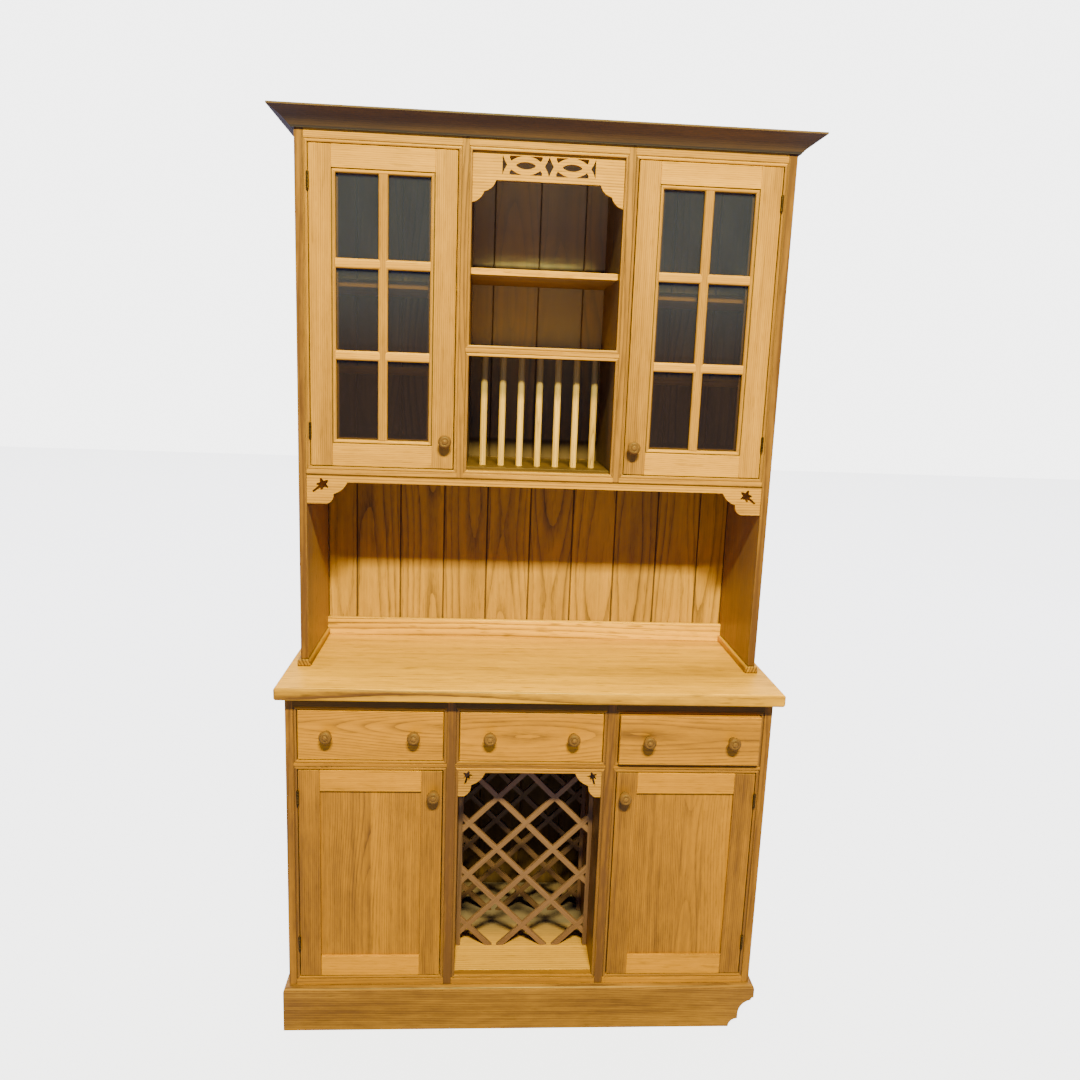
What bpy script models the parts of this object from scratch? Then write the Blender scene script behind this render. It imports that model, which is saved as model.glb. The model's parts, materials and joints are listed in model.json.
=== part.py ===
"""A two-part kitchen dresser in oak.

Below, a carcass on a plinth holds three inset drawers, two panelled doors and a niche with a
wine rack of crossed slats.  Above, a glazed cabinet stands on the worktop between two full
height sides: it has an open bay under a pierced frieze, and a plate rack of upright dowels.

All sizes are in metres, +Z is up and the front faces -Y.  The origin lies on the floor under
the middle of the bounding box.
"""

import math

import bmesh
import bpy
from mathutils import Euler, Matrix, Vector

# Clearances
seat = 0.0003               # between any two pieces that rest on or fit in each other
door_gap = 0.002            # round an inset door
drawer_gap = 0.0015         # round an inset drawer front
running_clearance = 0.0005  # between a drawer box and its runners

# Boards
panel = 0.018               # sides, dividers, floors and shelves
frame_thickness = 0.020     # face frames
door_thickness = 0.020      # door frames and drawer fronts
back_thickness = 0.011      # vertical back boards
fret_thickness = 0.009      # sawn and pierced boards

# Base carcass
carcass_width = 1.153
carcass_depth = 0.420       # face of the frame to the back of the boards
worktop_height = 0.900
worktop_thickness = 0.030
worktop_overhang_front = 0.034
worktop_overhang_side = 0.018
worktop_round = 0.006
base_stile = 0.0265         # carcass edge to the first opening, side panel included
base_muntin = 0.0355
niche_width = 0.344
bottom_rail = 0.0248
middle_rail = 0.0233
top_rail = 0.0335
drawer_opening_height = 0.1252

# Plinth
plinth_height = 0.1165
plinth_thickness = 0.022
plinth_projection = 0.013
plinth_round = 0.011
notch_upper_cove = 0.038    # the two coves sawn out of the right-hand end
notch_lower_cove = 0.023
notch_height = 0.084

# Hutch
hutch_width = 1.126
hutch_setback = 0.1224      # behind the face of the base
hutch_stile = 0.0282
hutch_muntin = 0.0303
bay_width = 0.3426
cabinet_underside = 1.373
cabinet_bottom_rail = 0.0182
glazed_opening_height = 0.7128
cabinet_top_rail = 0.046
floor_upstand = 0.007       # cabinet floor above the bottom rail
plate_rack_height = 0.2658
bay_rail = 0.0247
bay_head_rise = 0.001       # head of the open bay above the heads of the glazed doors

# Cornice
cornice_drop = 0.0191       # how far it laps down over the cabinet
cornice_height = 0.0384
cornice_projection = 0.0485
cornice_fillet = 0.004
cornice_hollow = 0.003
dust_board = 0.015

# Foot battens and upstand of the hutch
foot_height = 0.018
foot_inner_lip = 0.006
foot_outer_lip = 0.008
foot_front_lip = 0.0044
upstand_height = 0.048
upstand_thickness = 0.017

# Beads and grooves
bead_width = 0.0075         # opening edge to the middle of the quirk
quirk_width = 0.0025
quirk_depth = 0.0025
arris = 0.0015
board_pitch = 0.117
board_groove_width = 0.004
board_groove_depth = 0.002

# Shelves: height of the top face, and setback behind the cabinet's face
shelf_setback = 0.042
upper_shelf_top = 1.821
lower_shelf_top = 1.625
bay_shelf_top = 1.857
bay_shelf_thickness = 0.015
bay_shelf_setback = 0.030

# Plate rack
dowel_diameter = 0.016
dowel_pitch = 0.0445
dowel_count = 7
dowel_setback = 0.0776      # centre line behind the cabinet's face
dowel_socket = 0.008

# Wine rack
rack_pitch = 0.0722         # half the diagonal of a cell
slat_width = 0.013
slat_thickness = 0.010
rack_batten = 0.011
rack_headroom = 0.006       # under the drawer runners
rack_first_crossing = 0.0577
rack_front_setback = 0.117
rack_rear_setback = 0.270

# Pierced frieze
frieze_height = 0.0590      # below the top of the bay
frieze_setback = 0.008      # behind the cabinet's face
frieze_pierced_width = 0.210
frieze_pierced_height = 0.040
frieze_bottom_border = 0.0135
bow_radius = 0.047          # middle line of the crossing bows
bow_rise = 0.014            # its crown above the middle of the panel
bow_width = 0.0125
fret_kerf = 0.0007          # the narrowest opening a fret saw leaves

# Lobed brackets
bracket_reach = 0.0940      # tip of a pelmet bracket from the side
niche_bracket_reach = 0.064
bracket_notch = (0.032, 0.028)   # from the tip, inwards and down
bracket_foot = (0.047, 0.052)
niche_bracket_notch = (0.033, 0.0314)
niche_bracket_foot = (0.0495, 0.0606)
frieze_notch = (0.0265, 0.0243)
frieze_foot = (0.053, 0.0486)
lobe_bulge = 0.0052
leaf_radius = 0.016
leaf_stem = 0.030
leaf_lean = 38              # of the stem below the horizontal, in degrees
niche_leaf_radius = 0.0125
niche_leaf_stem = 0.024
niche_leaf_lean = 75
leaf_stem_half_width = 0.0022
leaf_inset = 0.037          # middle of the leaf from the side
niche_leaf_inset = 0.022
leaf_drop = 0.0055          # middle of the leaf under the pelmet's edge
niche_leaf_drop = 0.0075

# Pelmet under the cabinet, and the one in the niche
pelmet_drop = 0.0195
pelmet_setback = 0.0055     # behind the cabinet's face
pelmet_thickness = 0.012
niche_pelmet_drop = 0.0065
niche_pelmet_setback = 0.003 # behind the face of the frame
niche_pelmet_let_in = 0.001 # into the stiles and the rail round the niche

# Doors
base_door_stile = 0.050
base_door_rail = 0.053
base_door_panel = 0.008
panel_recess = 0.006
panel_tongue = 0.008
glazed_door_stile = 0.0588
glazed_door_top_rail = 0.0585
glazed_door_bottom_rail = 0.0622
glazing_bar = 0.0223
pane_columns = 2
pane_rows = 3
glazing_depth = 0.011
glazing_rebate = 0.006
glass_thickness = 0.003
moulding_width = 0.009      # edge of the light to its quirk

# Drawers
drawer_length = 0.340
drawer_side = 0.010
drawer_lift = 0.0045        # underside of the box above the rail
drawer_headroom = 0.013
box_side_clearance = 0.003
drawer_ajar = 0.012         # the right drawer stands open this far
runner_height = 0.020
runner_width = 0.030

# Knobs
knob_diameter = 0.031
knob_projection = 0.030
drawer_knob_spacing = 0.203
middle_drawer_knob_spacing = 0.198
drawer_knob_rise = 0.003    # above the middle of the drawer front
base_door_knob_drop = 0.0594
base_door_knob_inset = 0.022
glazed_door_knob_rise = 0.067
glazed_door_knob_inset = 0.0205

# Butt hinges
hinge_height = 0.0365
hinge_barrel_radius = 0.0032
hinge_leaf_thickness = 0.001
hinge_leaf_depth = 0.014
glazed_hinge_top_inset = 0.062
glazed_hinge_bottom_inset = 0.065
base_hinge_top_inset = 0.053
base_hinge_bottom_inset = 0.0735

# Levels and planes worked out from the sizes above
front = -(carcass_depth - drawer_ajar - knob_projection - seat) / 2
back = front + carcass_depth
hutch_front = front + hutch_setback
back_face = back - back_thickness
half_width = carcass_width / 2
half_hutch = hutch_width / 2
half_niche = niche_width / 2
half_bay = bay_width / 2
worktop_underside = worktop_height - worktop_thickness
opening_bottom = plinth_height + bottom_rail
drawer_top = worktop_underside - top_rail
drawer_bottom = drawer_top - drawer_opening_height
door_top = drawer_bottom - middle_rail
runner_top = drawer_bottom + drawer_lift - running_clearance
runner_bottom = runner_top - runner_height
base_inner = half_niche + base_muntin
base_outer = half_width - base_stile
cabinet_opening_bottom = cabinet_underside + cabinet_bottom_rail
cabinet_opening_top = cabinet_opening_bottom + glazed_opening_height
cabinet_top = cabinet_opening_top + cabinet_top_rail
cabinet_floor = cabinet_opening_bottom + floor_upstand
bay_rail_bottom = cabinet_opening_bottom + plate_rack_height
bay_rail_top = bay_rail_bottom + bay_rail
glazed_inner = half_bay + hutch_muntin
glazed_outer = half_hutch - hutch_stile
cornice_bottom = cabinet_top - cornice_drop
cornice_top = cornice_bottom + cornice_height


for stale in list(bpy.data.objects):
    bpy.data.objects.remove(stale, do_unlink=True)

parts = bpy.data.collections.new("kitchen_dresser")
cutters = bpy.data.collections.new("cutters")
for collection in (parts, cutters):
    bpy.context.scene.collection.children.link(collection)


def finish(name, red, green, blue, roughness, metallic=0.0, alpha=1.0):
    """A plain surface finish with its colour given as 0 to 1 linear values."""
    made = bpy.data.materials.new(name)
    made.use_nodes = True
    shader = made.node_tree.nodes["Principled BSDF"]
    shader.inputs["Base Color"].default_value = (red, green, blue, 1.0)
    shader.inputs["Roughness"].default_value = roughness
    shader.inputs["Metallic"].default_value = metallic
    shader.inputs["Alpha"].default_value = alpha
    return made


oak = finish("oak", 0.58, 0.33, 0.12, 0.42)
oak_pale = finish("oak_pale", 0.70, 0.42, 0.17, 0.42)
oak_deep = finish("oak_deep", 0.42, 0.21, 0.07, 0.45)
turned_oak = finish("turned_oak", 0.55, 0.29, 0.10, 0.38)
antique_brass = finish("antique_brass", 0.12, 0.08, 0.04, 0.35, metallic=0.9)
clear_glass = finish("clear_glass", 0.55, 0.58, 0.58, 0.03, alpha=0.35)


def keep(name, shape, material, location=(0, 0, 0), rotation=(0, 0, 0), helper=False):
    """Turn a bmesh into a named object, in the parts or, for a helper, among the cutters."""
    mesh = bpy.data.meshes.new(name)
    bmesh.ops.recalc_face_normals(shape, faces=shape.faces)
    shape.to_mesh(mesh)
    shape.free()
    piece = bpy.data.objects.new(name, mesh)
    piece.location = location
    piece.rotation_euler = rotation
    if helper:
        cutters.objects.link(piece)
        piece.hide_render = True
        piece.display_type = "WIRE"
    else:
        parts.objects.link(piece)
        mesh.materials.append(material)
    return piece


def board(name, low, high, material=None, edge=0.0, segments=1, helper=False):
    """A rectangular board between two opposite corners, with its arrises eased by edge."""
    low = Vector(low)
    high = Vector(high)
    shape = bmesh.new()
    bmesh.ops.create_cube(shape, size=1.0)
    bmesh.ops.scale(shape, vec=high - low, verts=shape.verts)
    piece = keep(name, shape, material, location=(low + high) / 2, helper=helper)
    if edge:
        rounding = piece.modifiers.new("eased arrises", "BEVEL")
        rounding.width = edge
        rounding.segments = segments
        rounding.limit_method = "ANGLE"
    return piece


def combine(piece, others, operation):
    """Cut the others from the piece, or join them to it."""
    for other in others:
        boolean = piece.modifiers.new(f"{operation.lower()} {other.name}", "BOOLEAN")
        boolean.operation = operation
        boolean.solver = "EXACT"
        boolean.object = other
    return piece


def sawn(name, outline, holes, thickness, material=None, ease=0.0, middle=0.0, upright=True,
         helper=False):
    """A board sawn to an outline with holes, as a filled 2D curve made into a mesh.

    An upright board has its outline in X and Z, and middle is its Y.  A flat one has its
    outline in X and Y, and middle is its Z.
    """
    curve = bpy.data.curves.new(name, "CURVE")
    curve.dimensions = "2D"
    curve.fill_mode = "BOTH"
    curve.extrude = thickness / 2 - ease
    curve.bevel_depth = ease
    curve.bevel_resolution = 0
    curve.offset = -ease
    for loop in [outline, *holes]:
        spline = curve.splines.new("POLY")
        spline.points.add(len(loop) - 1)
        for point, (across, along) in zip(spline.points, loop):
            point.co = (across, along, 0.0, 1.0)
        spline.use_cyclic_u = True
    drawn = bpy.data.objects.new(name, curve)
    parts.objects.link(drawn)
    bpy.context.view_layer.update()
    graph = bpy.context.evaluated_depsgraph_get()
    mesh = bpy.data.meshes.new_from_object(drawn.evaluated_get(graph))
    shape = bmesh.new()
    shape.from_mesh(mesh)
    bmesh.ops.remove_doubles(shape, verts=shape.verts, dist=0.00001)
    if upright:
        bmesh.ops.rotate(shape, matrix=Matrix.Rotation(math.pi / 2, 3, "X"), verts=shape.verts)
    bpy.data.objects.remove(drawn, do_unlink=True)
    location = (0, middle, 0) if upright else (0, 0, middle)
    return keep(name, shape, material, location=location, helper=helper)


def rectangle(left, right, bottom, top):
    return [(left, bottom), (right, bottom), (right, top), (left, top)]


def arc(centre, radius, start, end, steps):
    """Points on a circle between two angles in degrees."""
    angles = [math.radians(start + (end - start) * step / steps) for step in range(steps + 1)]
    return [(centre[0] + radius * math.cos(a), centre[1] + radius * math.sin(a)) for a in angles]


def mitred(name, profile, corners, closed, place, material=None, helper=False):
    """Carry a profile of (outward, up) points round the corners of a path, mitred.

    Outward is to the right of the way the path runs.  place turns a point of the path's plane
    and a height above it into X, Y and Z.
    """
    count = len(corners)
    rings = []
    shape = bmesh.new()
    for index, corner in enumerate(corners):
        here = Vector(corner)
        normals = []
        for first, second in ((index - 1, index), (index, index + 1)):
            if closed or (first >= 0 and second < count):
                way = Vector(corners[second % count]) - Vector(corners[first % count])
                normals.append(Vector((way.y, -way.x)).normalized())
        mitre = sum(normals, Vector((0, 0)))
        mitre = mitre / (1 + normals[0].dot(normals[1])) if len(normals) == 2 else mitre
        rings.append([shape.verts.new(place(here + mitre * out, up)) for out, up in profile])
    for index in range(count if closed else count - 1):
        near = rings[index]
        far = rings[(index + 1) % count]
        for side in range(len(profile)):
            after = (side + 1) % len(profile)
            shape.faces.new((near[side], near[after], far[after], far[side]))
    if not closed:
        shape.faces.new(rings[0])
        shape.faces.new(rings[-1])
    return keep(name, shape, material, helper=helper)


def on_floor(point, up):
    return Vector((point.x, point.y, up))


def quirk(name, opening, face, distance=bead_width, run_out=0):
    """A V groove round a rectangular opening, which leaves a bead along its edge.

    With run_out 1 or -1 it follows three edges and runs out through the stile on that side,
    where the joint with the side panel makes the fourth line.
    """
    left, right, bottom, top = opening
    past = 0.03
    corners = [(left, bottom), (right, bottom), (right, top), (left, top)]
    if run_out > 0:
        corners = [(right + past, top), (left, top), (left, bottom), (right + past, bottom)]
    if run_out < 0:
        corners = [(left - past, bottom), (right, bottom), (right, top), (left - past, top)]
    profile = [(distance - quirk_width, -quirk_depth), (distance, quirk_depth),
               (distance + quirk_width, -quirk_depth)]
    return mitred(name, profile, corners, not run_out,
                  lambda point, depth: Vector((point.x, face + depth, point.y)), helper=True)


def face_frame(name, outer, openings, face, material):
    """A joined frame of stiles and rails with a bead run round every opening."""
    frame = sawn(name, rectangle(*outer), [rectangle(*opening) for opening in openings],
                 frame_thickness, material, ease=arris, middle=face + frame_thickness / 2)
    grooves = []
    for number, opening in enumerate(openings):
        run_out = (opening[0] > 0) - (opening[1] < 0)
        grooves.append(quirk(f"{name}_quirk_{number}", opening, face, run_out=run_out))
    return combine(frame, grooves, "DIFFERENCE")


def turned(name, profile, steps, material, location, rotation=(0, 0, 0), helper=False):
    """A shape turned on the lathe: the profile is (radius, height) from the top down."""
    shape = bmesh.new()
    points = [shape.verts.new((radius, 0.0, height)) for radius, height in profile]
    for upper, lower in zip(points, points[1:]):
        shape.edges.new((upper, lower))
    piece = keep(name, shape, material, location=location, rotation=rotation, helper=helper)
    screw = piece.modifiers.new("lathe", "SCREW")
    screw.steps = steps
    screw.render_steps = steps
    screw.use_merge_vertices = True
    screw.merge_threshold = 0.00001
    return piece


def shade_round(piece):
    piece.data.shade_smooth()
    piece.data.set_sharp_from_angle(angle=math.radians(40))


def knob(name, x, z, face):
    """A turned knob: a narrow neck under a full, slightly flattened head."""
    radius = knob_diameter / 2
    head = 0.62 * knob_projection
    middle = knob_projection - head / 2
    profile = [(0.0, knob_projection)]
    profile += [(radius * math.cos(a), middle + head / 2 * math.sin(a))
                for a in (math.radians(angle) for angle in (62, 38, 14, -10, -34, -58))]
    profile += [(0.42 * radius, 0.16 * knob_projection), (0.62 * radius, 0.05 * knob_projection)]
    profile += [(0.62 * radius, 0.0), (0.0, 0.0)]
    piece = turned(name, profile, 16, turned_oak, (x, face - seat, z), (math.pi / 2, 0, 0))
    shade_round(piece)
    return piece


def pivot(name, location):
    """An empty on the axis of a joint, which carries the pieces that move with it."""
    empty = bpy.data.objects.new(name, None)
    empty.location = location
    empty.empty_display_size = 0.05
    parts.objects.link(empty)
    return empty


def carry(empty, pieces):
    """Parent pieces to an empty, and leave them where they are."""
    for piece in pieces:
        piece.parent = empty
        piece.location = piece.location - empty.location


def make_plinth():
    """Front board and returns with a rounded top edge, and a plain rail at the back."""
    inner = plinth_projection - plinth_thickness
    round_centre = (plinth_projection - plinth_round, plinth_height - plinth_round)
    profile = [(inner, 0.0), (plinth_projection, 0.0)]
    profile += arc(round_centre, plinth_round, 0, 90, 4)
    profile += [(inner, plinth_height)]
    corners = [(-half_width, back), (-half_width, front), (half_width, front), (half_width, back)]
    plinth = mitred("plinth", profile, corners, False, on_floor, oak)
    inside = half_width + inner
    rail = board("plinth_back_rail", (-inside - seat, back - plinth_thickness, 0.0),
                 (inside + seat, back, plinth_height - seat), helper=True)
    combine(plinth, [rail], "UNION")
    corner = half_width + plinth_projection
    past = 0.03
    notch = sawn("plinth_notch", [(corner - along, up) for along, up in notch_outline()], [],
                 carcass_depth + 2 * past, middle=(front + back) / 2, helper=True)
    return combine(plinth, [notch], "DIFFERENCE")


def notch_outline():
    """The profile of a skirting board that the right side is scribed over.

    Two coves, one above the other, as (distance from the corner, height).
    """
    outside = 0.02
    step = 0.008
    upper_centre = (0.0, notch_height - notch_upper_cove - step)
    lower_centre = (notch_upper_cove, 0.0)
    return [
        (-outside, notch_height),
        (0.004, notch_height - 0.002),
        *arc(upper_centre, notch_upper_cove, 78, 0, 6),
        *arc(lower_centre, notch_lower_cove, 90, 0, 4),
        (notch_upper_cove + notch_lower_cove, -outside),
        (-outside, -outside),
    ]


def make_base_side(name, side):
    """A side panel with the outer drawer's runner fixed to it."""
    inner = half_width - panel
    piece = board(name, mirrored(side, inner, front, plinth_height + seat),
                  mirrored(side, half_width, back, worktop_underside - seat), oak, arris)
    return combine(piece, [runner(f"{name}_runner", side, inner, -1)], "UNION")


def mirrored(side, x, y, z):
    return (side * x, y, z)


def runner(name, side, face, way):
    """A strip under the side of a drawer box, let a little into the panel that carries it."""
    let_in = 0.001
    return board(name, (side * (face - way * let_in), front + frame_thickness + seat,
                        runner_bottom),
                 (side * (face + way * runner_width), back_face - seat, runner_top), helper=True)


def make_base_divider(name, side):
    """An upright panel beside the niche, with a runner on each face."""
    outer = half_niche + panel
    piece = board(name, mirrored(side, half_niche, front + frame_thickness + seat,
                                 opening_bottom + seat),
                  mirrored(side, outer, back_face - seat, worktop_underside - seat), oak_deep)
    strips = [runner(f"{name}_outer_runner", side, outer, 1),
              runner(f"{name}_niche_runner", side, half_niche, -1)]
    return combine(piece, strips, "UNION")


def vee_boards(name, half, bottom, top, thickness, material):
    """Upright boards with V joints between them, cut from one profile in plan."""
    face = back - thickness
    points = [(-half, back), (-half, face)]
    joints = int(half // board_pitch)
    for number in range(-joints, joints + 1):
        x = number * board_pitch
        if abs(x) < half - board_groove_width:
            points += [(x - board_groove_width / 2, face), (x, face + board_groove_depth),
                       (x + board_groove_width / 2, face)]
    points += [(half, face), (half, back)]
    return sawn(name, points, [], top - bottom, material, middle=(top + bottom) / 2, upright=False)


def lobed_edge(half, level, reach, notch, foot):
    """The free edge of the right-hand bracket, from its tip over two round lobes to its foot."""
    tip = Vector((half - reach, level))
    points = []
    for near, far in (((0, 0), notch), (notch, foot)):
        start = tip + Vector((near[0], -near[1]))
        chord = tip + Vector((far[0], -far[1])) - start
        bulge = Vector((chord.y, -chord.x)).normalized() * lobe_bulge
        for step in range(6):
            share = step / 5
            points.append(start + chord * share + bulge * (4 * share * (1 - share)))
    points.pop(6)
    return [(point.x, point.y) for point in points]


def leaf(centre, away, radius, stem):
    """A five-pointed leaf on a stem, as a hole.  away is the angle of the stem in degrees."""
    points = []
    steps = 20
    opening = 16
    for step in range(steps + 1):
        angle = opening + (360 - 2 * opening) * step / steps
        reach = radius * (0.74 + 0.26 * math.cos(math.radians(5 * angle + 180)))
        turn = math.radians(angle + away)
        points.append((centre[0] + reach * math.cos(turn), centre[1] + reach * math.sin(turn)))
    out = Vector((math.cos(math.radians(away)), math.sin(math.radians(away))))
    across = Vector((-out.y, out.x)) * leaf_stem_half_width
    for corner in (out * stem - across, out * stem + across):
        points.append((centre[0] + corner.x, centre[1] + corner.y))
    return points


def bracketed(half, top, level, reach, notch, foot):
    """The outline of a rail with a lobed bracket at each end."""
    right = lobed_edge(half, level, reach, notch, foot)
    left = [(-x, z) for x, z in right]
    outline = [(-half, top), (half, top)]
    if half - right[-1][0] > seat:
        outline += [(half, right[-1][1])]
    outline += [*reversed(right), *left]
    if half - right[-1][0] > seat:
        outline += [(-half, right[-1][1])]
    return outline


def leaf_pair(half, inset, level, radius, stem, lean):
    """A leaf in each bracket, with its stem pointing down and outwards."""
    return [leaf((half - inset, level), -lean, radius, stem),
            leaf((inset - half, level), lean - 180, radius, stem)]


def make_base_face_frame():
    """The frame of the base, with the pelmet of the niche let into its opening."""
    side = half_width - panel - seat
    outer = (-side, side, plinth_height + seat, worktop_underside - seat)
    openings = [
        (-base_outer, -base_inner, opening_bottom, door_top),
        (-half_niche, half_niche, opening_bottom, door_top),
        (base_inner, base_outer, opening_bottom, door_top),
        (-base_outer, -base_inner, drawer_bottom, drawer_top),
        (-half_niche, half_niche, drawer_bottom, drawer_top),
        (base_inner, base_outer, drawer_bottom, drawer_top),
    ]
    frame = face_frame("base_face_frame", outer, openings, front, oak)
    half = half_niche + niche_pelmet_let_in
    level = door_top - niche_pelmet_drop
    outline = bracketed(half, door_top + niche_pelmet_let_in, level,
                        niche_bracket_reach + niche_pelmet_let_in,
                        niche_bracket_notch, niche_bracket_foot)
    leaves = leaf_pair(half, niche_leaf_inset + niche_pelmet_let_in, level - niche_leaf_drop,
                       niche_leaf_radius, niche_leaf_stem, niche_leaf_lean)
    pelmet = sawn("niche_pelmet", outline, leaves, fret_thickness,
                  middle=front + niche_pelmet_setback + fret_thickness / 2, helper=True)
    return combine(frame, [pelmet], "UNION")


def make_worktop():
    half = half_width + worktop_overhang_side
    return board("worktop", (-half, front - worktop_overhang_front, worktop_underside),
                 (half, back, worktop_height), oak_pale, worktop_round, 3)


def make_wine_rack(name, setback):
    """Slats halved across each other at 45 degrees, between two upright battens.

    The lattice is a board with a pattern of diamonds sawn out: they stand where the column and
    row numbers of the half-cell grid add up to an odd number.
    """
    half = half_niche - seat
    bottom = opening_bottom + seat
    middle = front + setback + slat_thickness / 2
    top = runner_bottom - rack_headroom
    lattice = sawn(name, rectangle(-half + rack_batten / 2, half - rack_batten / 2, bottom, top), [],
                   slat_thickness, oak, middle=middle)
    hole = rack_pitch - slat_width / math.sqrt(2)
    diamonds = bmesh.new()
    columns = math.ceil(half / rack_pitch)
    rows = math.ceil((top - bottom) / rack_pitch)
    for column in range(-columns, columns + 1):
        for row in range(-1, rows + 1):
            if (column + row) % 2 == 0:
                continue
            place = Vector((column * rack_pitch, middle,
                            opening_bottom + rack_first_crossing + row * rack_pitch))
            turn = Matrix.Translation(place) @ Euler((math.pi / 2, 0, 0)).to_matrix().to_4x4()
            bmesh.ops.create_cone(diamonds, cap_ends=True, segments=4, radius1=hole, radius2=hole,
                                  depth=3 * slat_thickness, matrix=turn)
    cells = keep(f"{name}_cells", diamonds, None, helper=True)
    combine(lattice, [cells], "DIFFERENCE")
    battens = [
        board(f"{name}_batten_{word}", (side * half, middle - slat_thickness / 2 - 0.001, bottom),
              (side * (half - rack_batten), middle + slat_thickness / 2 + 0.001, top), helper=True)
        for word, side in (("left", -1), ("right", 1))
    ]
    return combine(lattice, battens, "UNION")


def make_hutch_foot_rail():
    """A batten under each side and an upstand along the back, joined into one U."""
    outer = half_hutch + foot_outer_lip
    inner = half_hutch - panel - foot_inner_lip
    bottom = worktop_height + seat
    upstand_face = back_face - seat - upstand_thickness
    upstand = board("hutch_foot_rail", (-inner - 0.001, upstand_face, bottom),
                    (inner + 0.001, back_face - seat, bottom + upstand_height), oak, 0.003, 2)
    battens = []
    for word, side in (("left", -1), ("right", 1)):
        battens.append(board(f"foot_batten_{word}",
                             (side * inner, hutch_front - foot_front_lip, bottom),
                             (side * outer, back_face - seat, bottom + foot_height),
                             edge=0.004, segments=2, helper=True))
    return combine(upstand, battens, "UNION")


def make_hutch_side(name, side):
    """A full height side, from its foot batten to the top of the cabinet."""
    return board(name, mirrored(side, half_hutch - panel, hutch_front,
                                worktop_height + foot_height + 2 * seat),
                 mirrored(side, half_hutch, back, cabinet_top - seat), oak, arris)


def make_hutch_floor():
    """The cabinet's floor, with a blind socket for the foot of each dowel."""
    half = half_hutch - panel - seat
    floor = board("hutch_floor", (-half, hutch_front + frame_thickness + seat, cabinet_floor - panel),
                  (half, back_face - seat, cabinet_floor), oak_deep)
    return combine(floor, dowels("dowel_socket", seat, cabinet_floor - dowel_socket - seat,
                                 cabinet_floor + panel), "DIFFERENCE")


def dowels(name, clearance, bottom, top):
    """The row of upright rods, or with a clearance their sockets."""
    made = []
    for number in range(dowel_count):
        x = (number - (dowel_count - 1) / 2) * dowel_pitch
        shape = bmesh.new()
        radius = dowel_diameter / 2 + clearance
        bmesh.ops.create_cone(shape, cap_ends=True, segments=14, radius1=radius, radius2=radius,
                              depth=top - bottom)
        place = (x, hutch_front + dowel_setback, (top + bottom) / 2)
        made.append(keep(f"{name}_{number}", shape, None, location=place, helper=True))
    return made


def make_plate_rack():
    """The shelf behind the bay's rail, with the plate dowels hanging from it into the floor."""
    half = half_bay - seat
    shelf = board("plate_rack", (-half, hutch_front + frame_thickness + seat, bay_rail_top - panel),
                  (half, back_face - seat, bay_rail_top), oak)
    return combine(shelf, dowels("plate_dowel", 0.0, cabinet_floor - dowel_socket,
                                 bay_rail_top - panel / 2), "UNION")


def make_hutch_divider(name, side):
    return board(name, mirrored(side, half_bay, hutch_front + frame_thickness + seat,
                                cabinet_floor + seat),
                 mirrored(side, half_bay + panel, back_face - seat, cabinet_top - seat), oak_deep)


def make_hutch_face_frame():
    side = half_hutch - panel - seat
    outer = (-side, side, cabinet_underside, cabinet_top - seat)
    openings = [
        (-glazed_outer, -glazed_inner, cabinet_opening_bottom, cabinet_opening_top),
        (-half_bay, half_bay, cabinet_opening_bottom, bay_rail_bottom),
        (-half_bay, half_bay, bay_rail_top, cabinet_opening_top + bay_head_rise),
        (glazed_inner, glazed_outer, cabinet_opening_bottom, cabinet_opening_top),
    ]
    return face_frame("hutch_face_frame", outer, openings, hutch_front, oak_pale)


def make_cornice():
    """A raked, slightly hollow moulding mitred at the corners, round a dust board."""
    toe = 0.006
    rake = Vector((cornice_projection - toe, cornice_height - cornice_fillet - toe / 2))
    inward = Vector((-rake.y, rake.x)).normalized()
    profile = [(seat, cornice_bottom), (toe, cornice_bottom)]
    for step in range(6):
        share = step / 5
        point = Vector((toe, toe / 2)) + rake * share
        point += inward * (cornice_hollow * 4 * share * (1 - share))
        profile.append((point.x, cornice_bottom + point.y))
    profile += [(cornice_projection, cornice_top), (seat, cornice_top)]
    corners = [(-half_hutch, back), (-half_hutch, hutch_front), (half_hutch, hutch_front),
               (half_hutch, back)]
    cornice = mitred("cornice", profile, corners, False, on_floor, oak_deep)
    reach = half_hutch + 0.002
    lid = board("cornice_dust_board", (-reach, hutch_front - 0.002, cabinet_top),
                (reach, back, cabinet_top + dust_board), helper=True)
    return combine(cornice, [lid], "UNION")


def make_shelves():
    """Four shelves behind the glazed doors and one in the open bay."""
    inner = half_bay + panel + seat
    outer = half_hutch - panel - seat
    made = []
    for word, side in (("left", -1), ("right", 1)):
        for level, top in (("upper", upper_shelf_top), ("lower", lower_shelf_top)):
            made.append(board(f"shelf_{word}_{level}",
                              mirrored(side, inner, hutch_front + shelf_setback, top - panel),
                              mirrored(side, outer, back_face - seat, top), oak, arris))
    half = half_bay - seat
    made.append(board("shelf_bay", (-half, hutch_front + bay_shelf_setback,
                                    bay_shelf_top - bay_shelf_thickness),
                      (half, back_face - seat, bay_shelf_top), oak_pale, arris))
    return made


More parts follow.
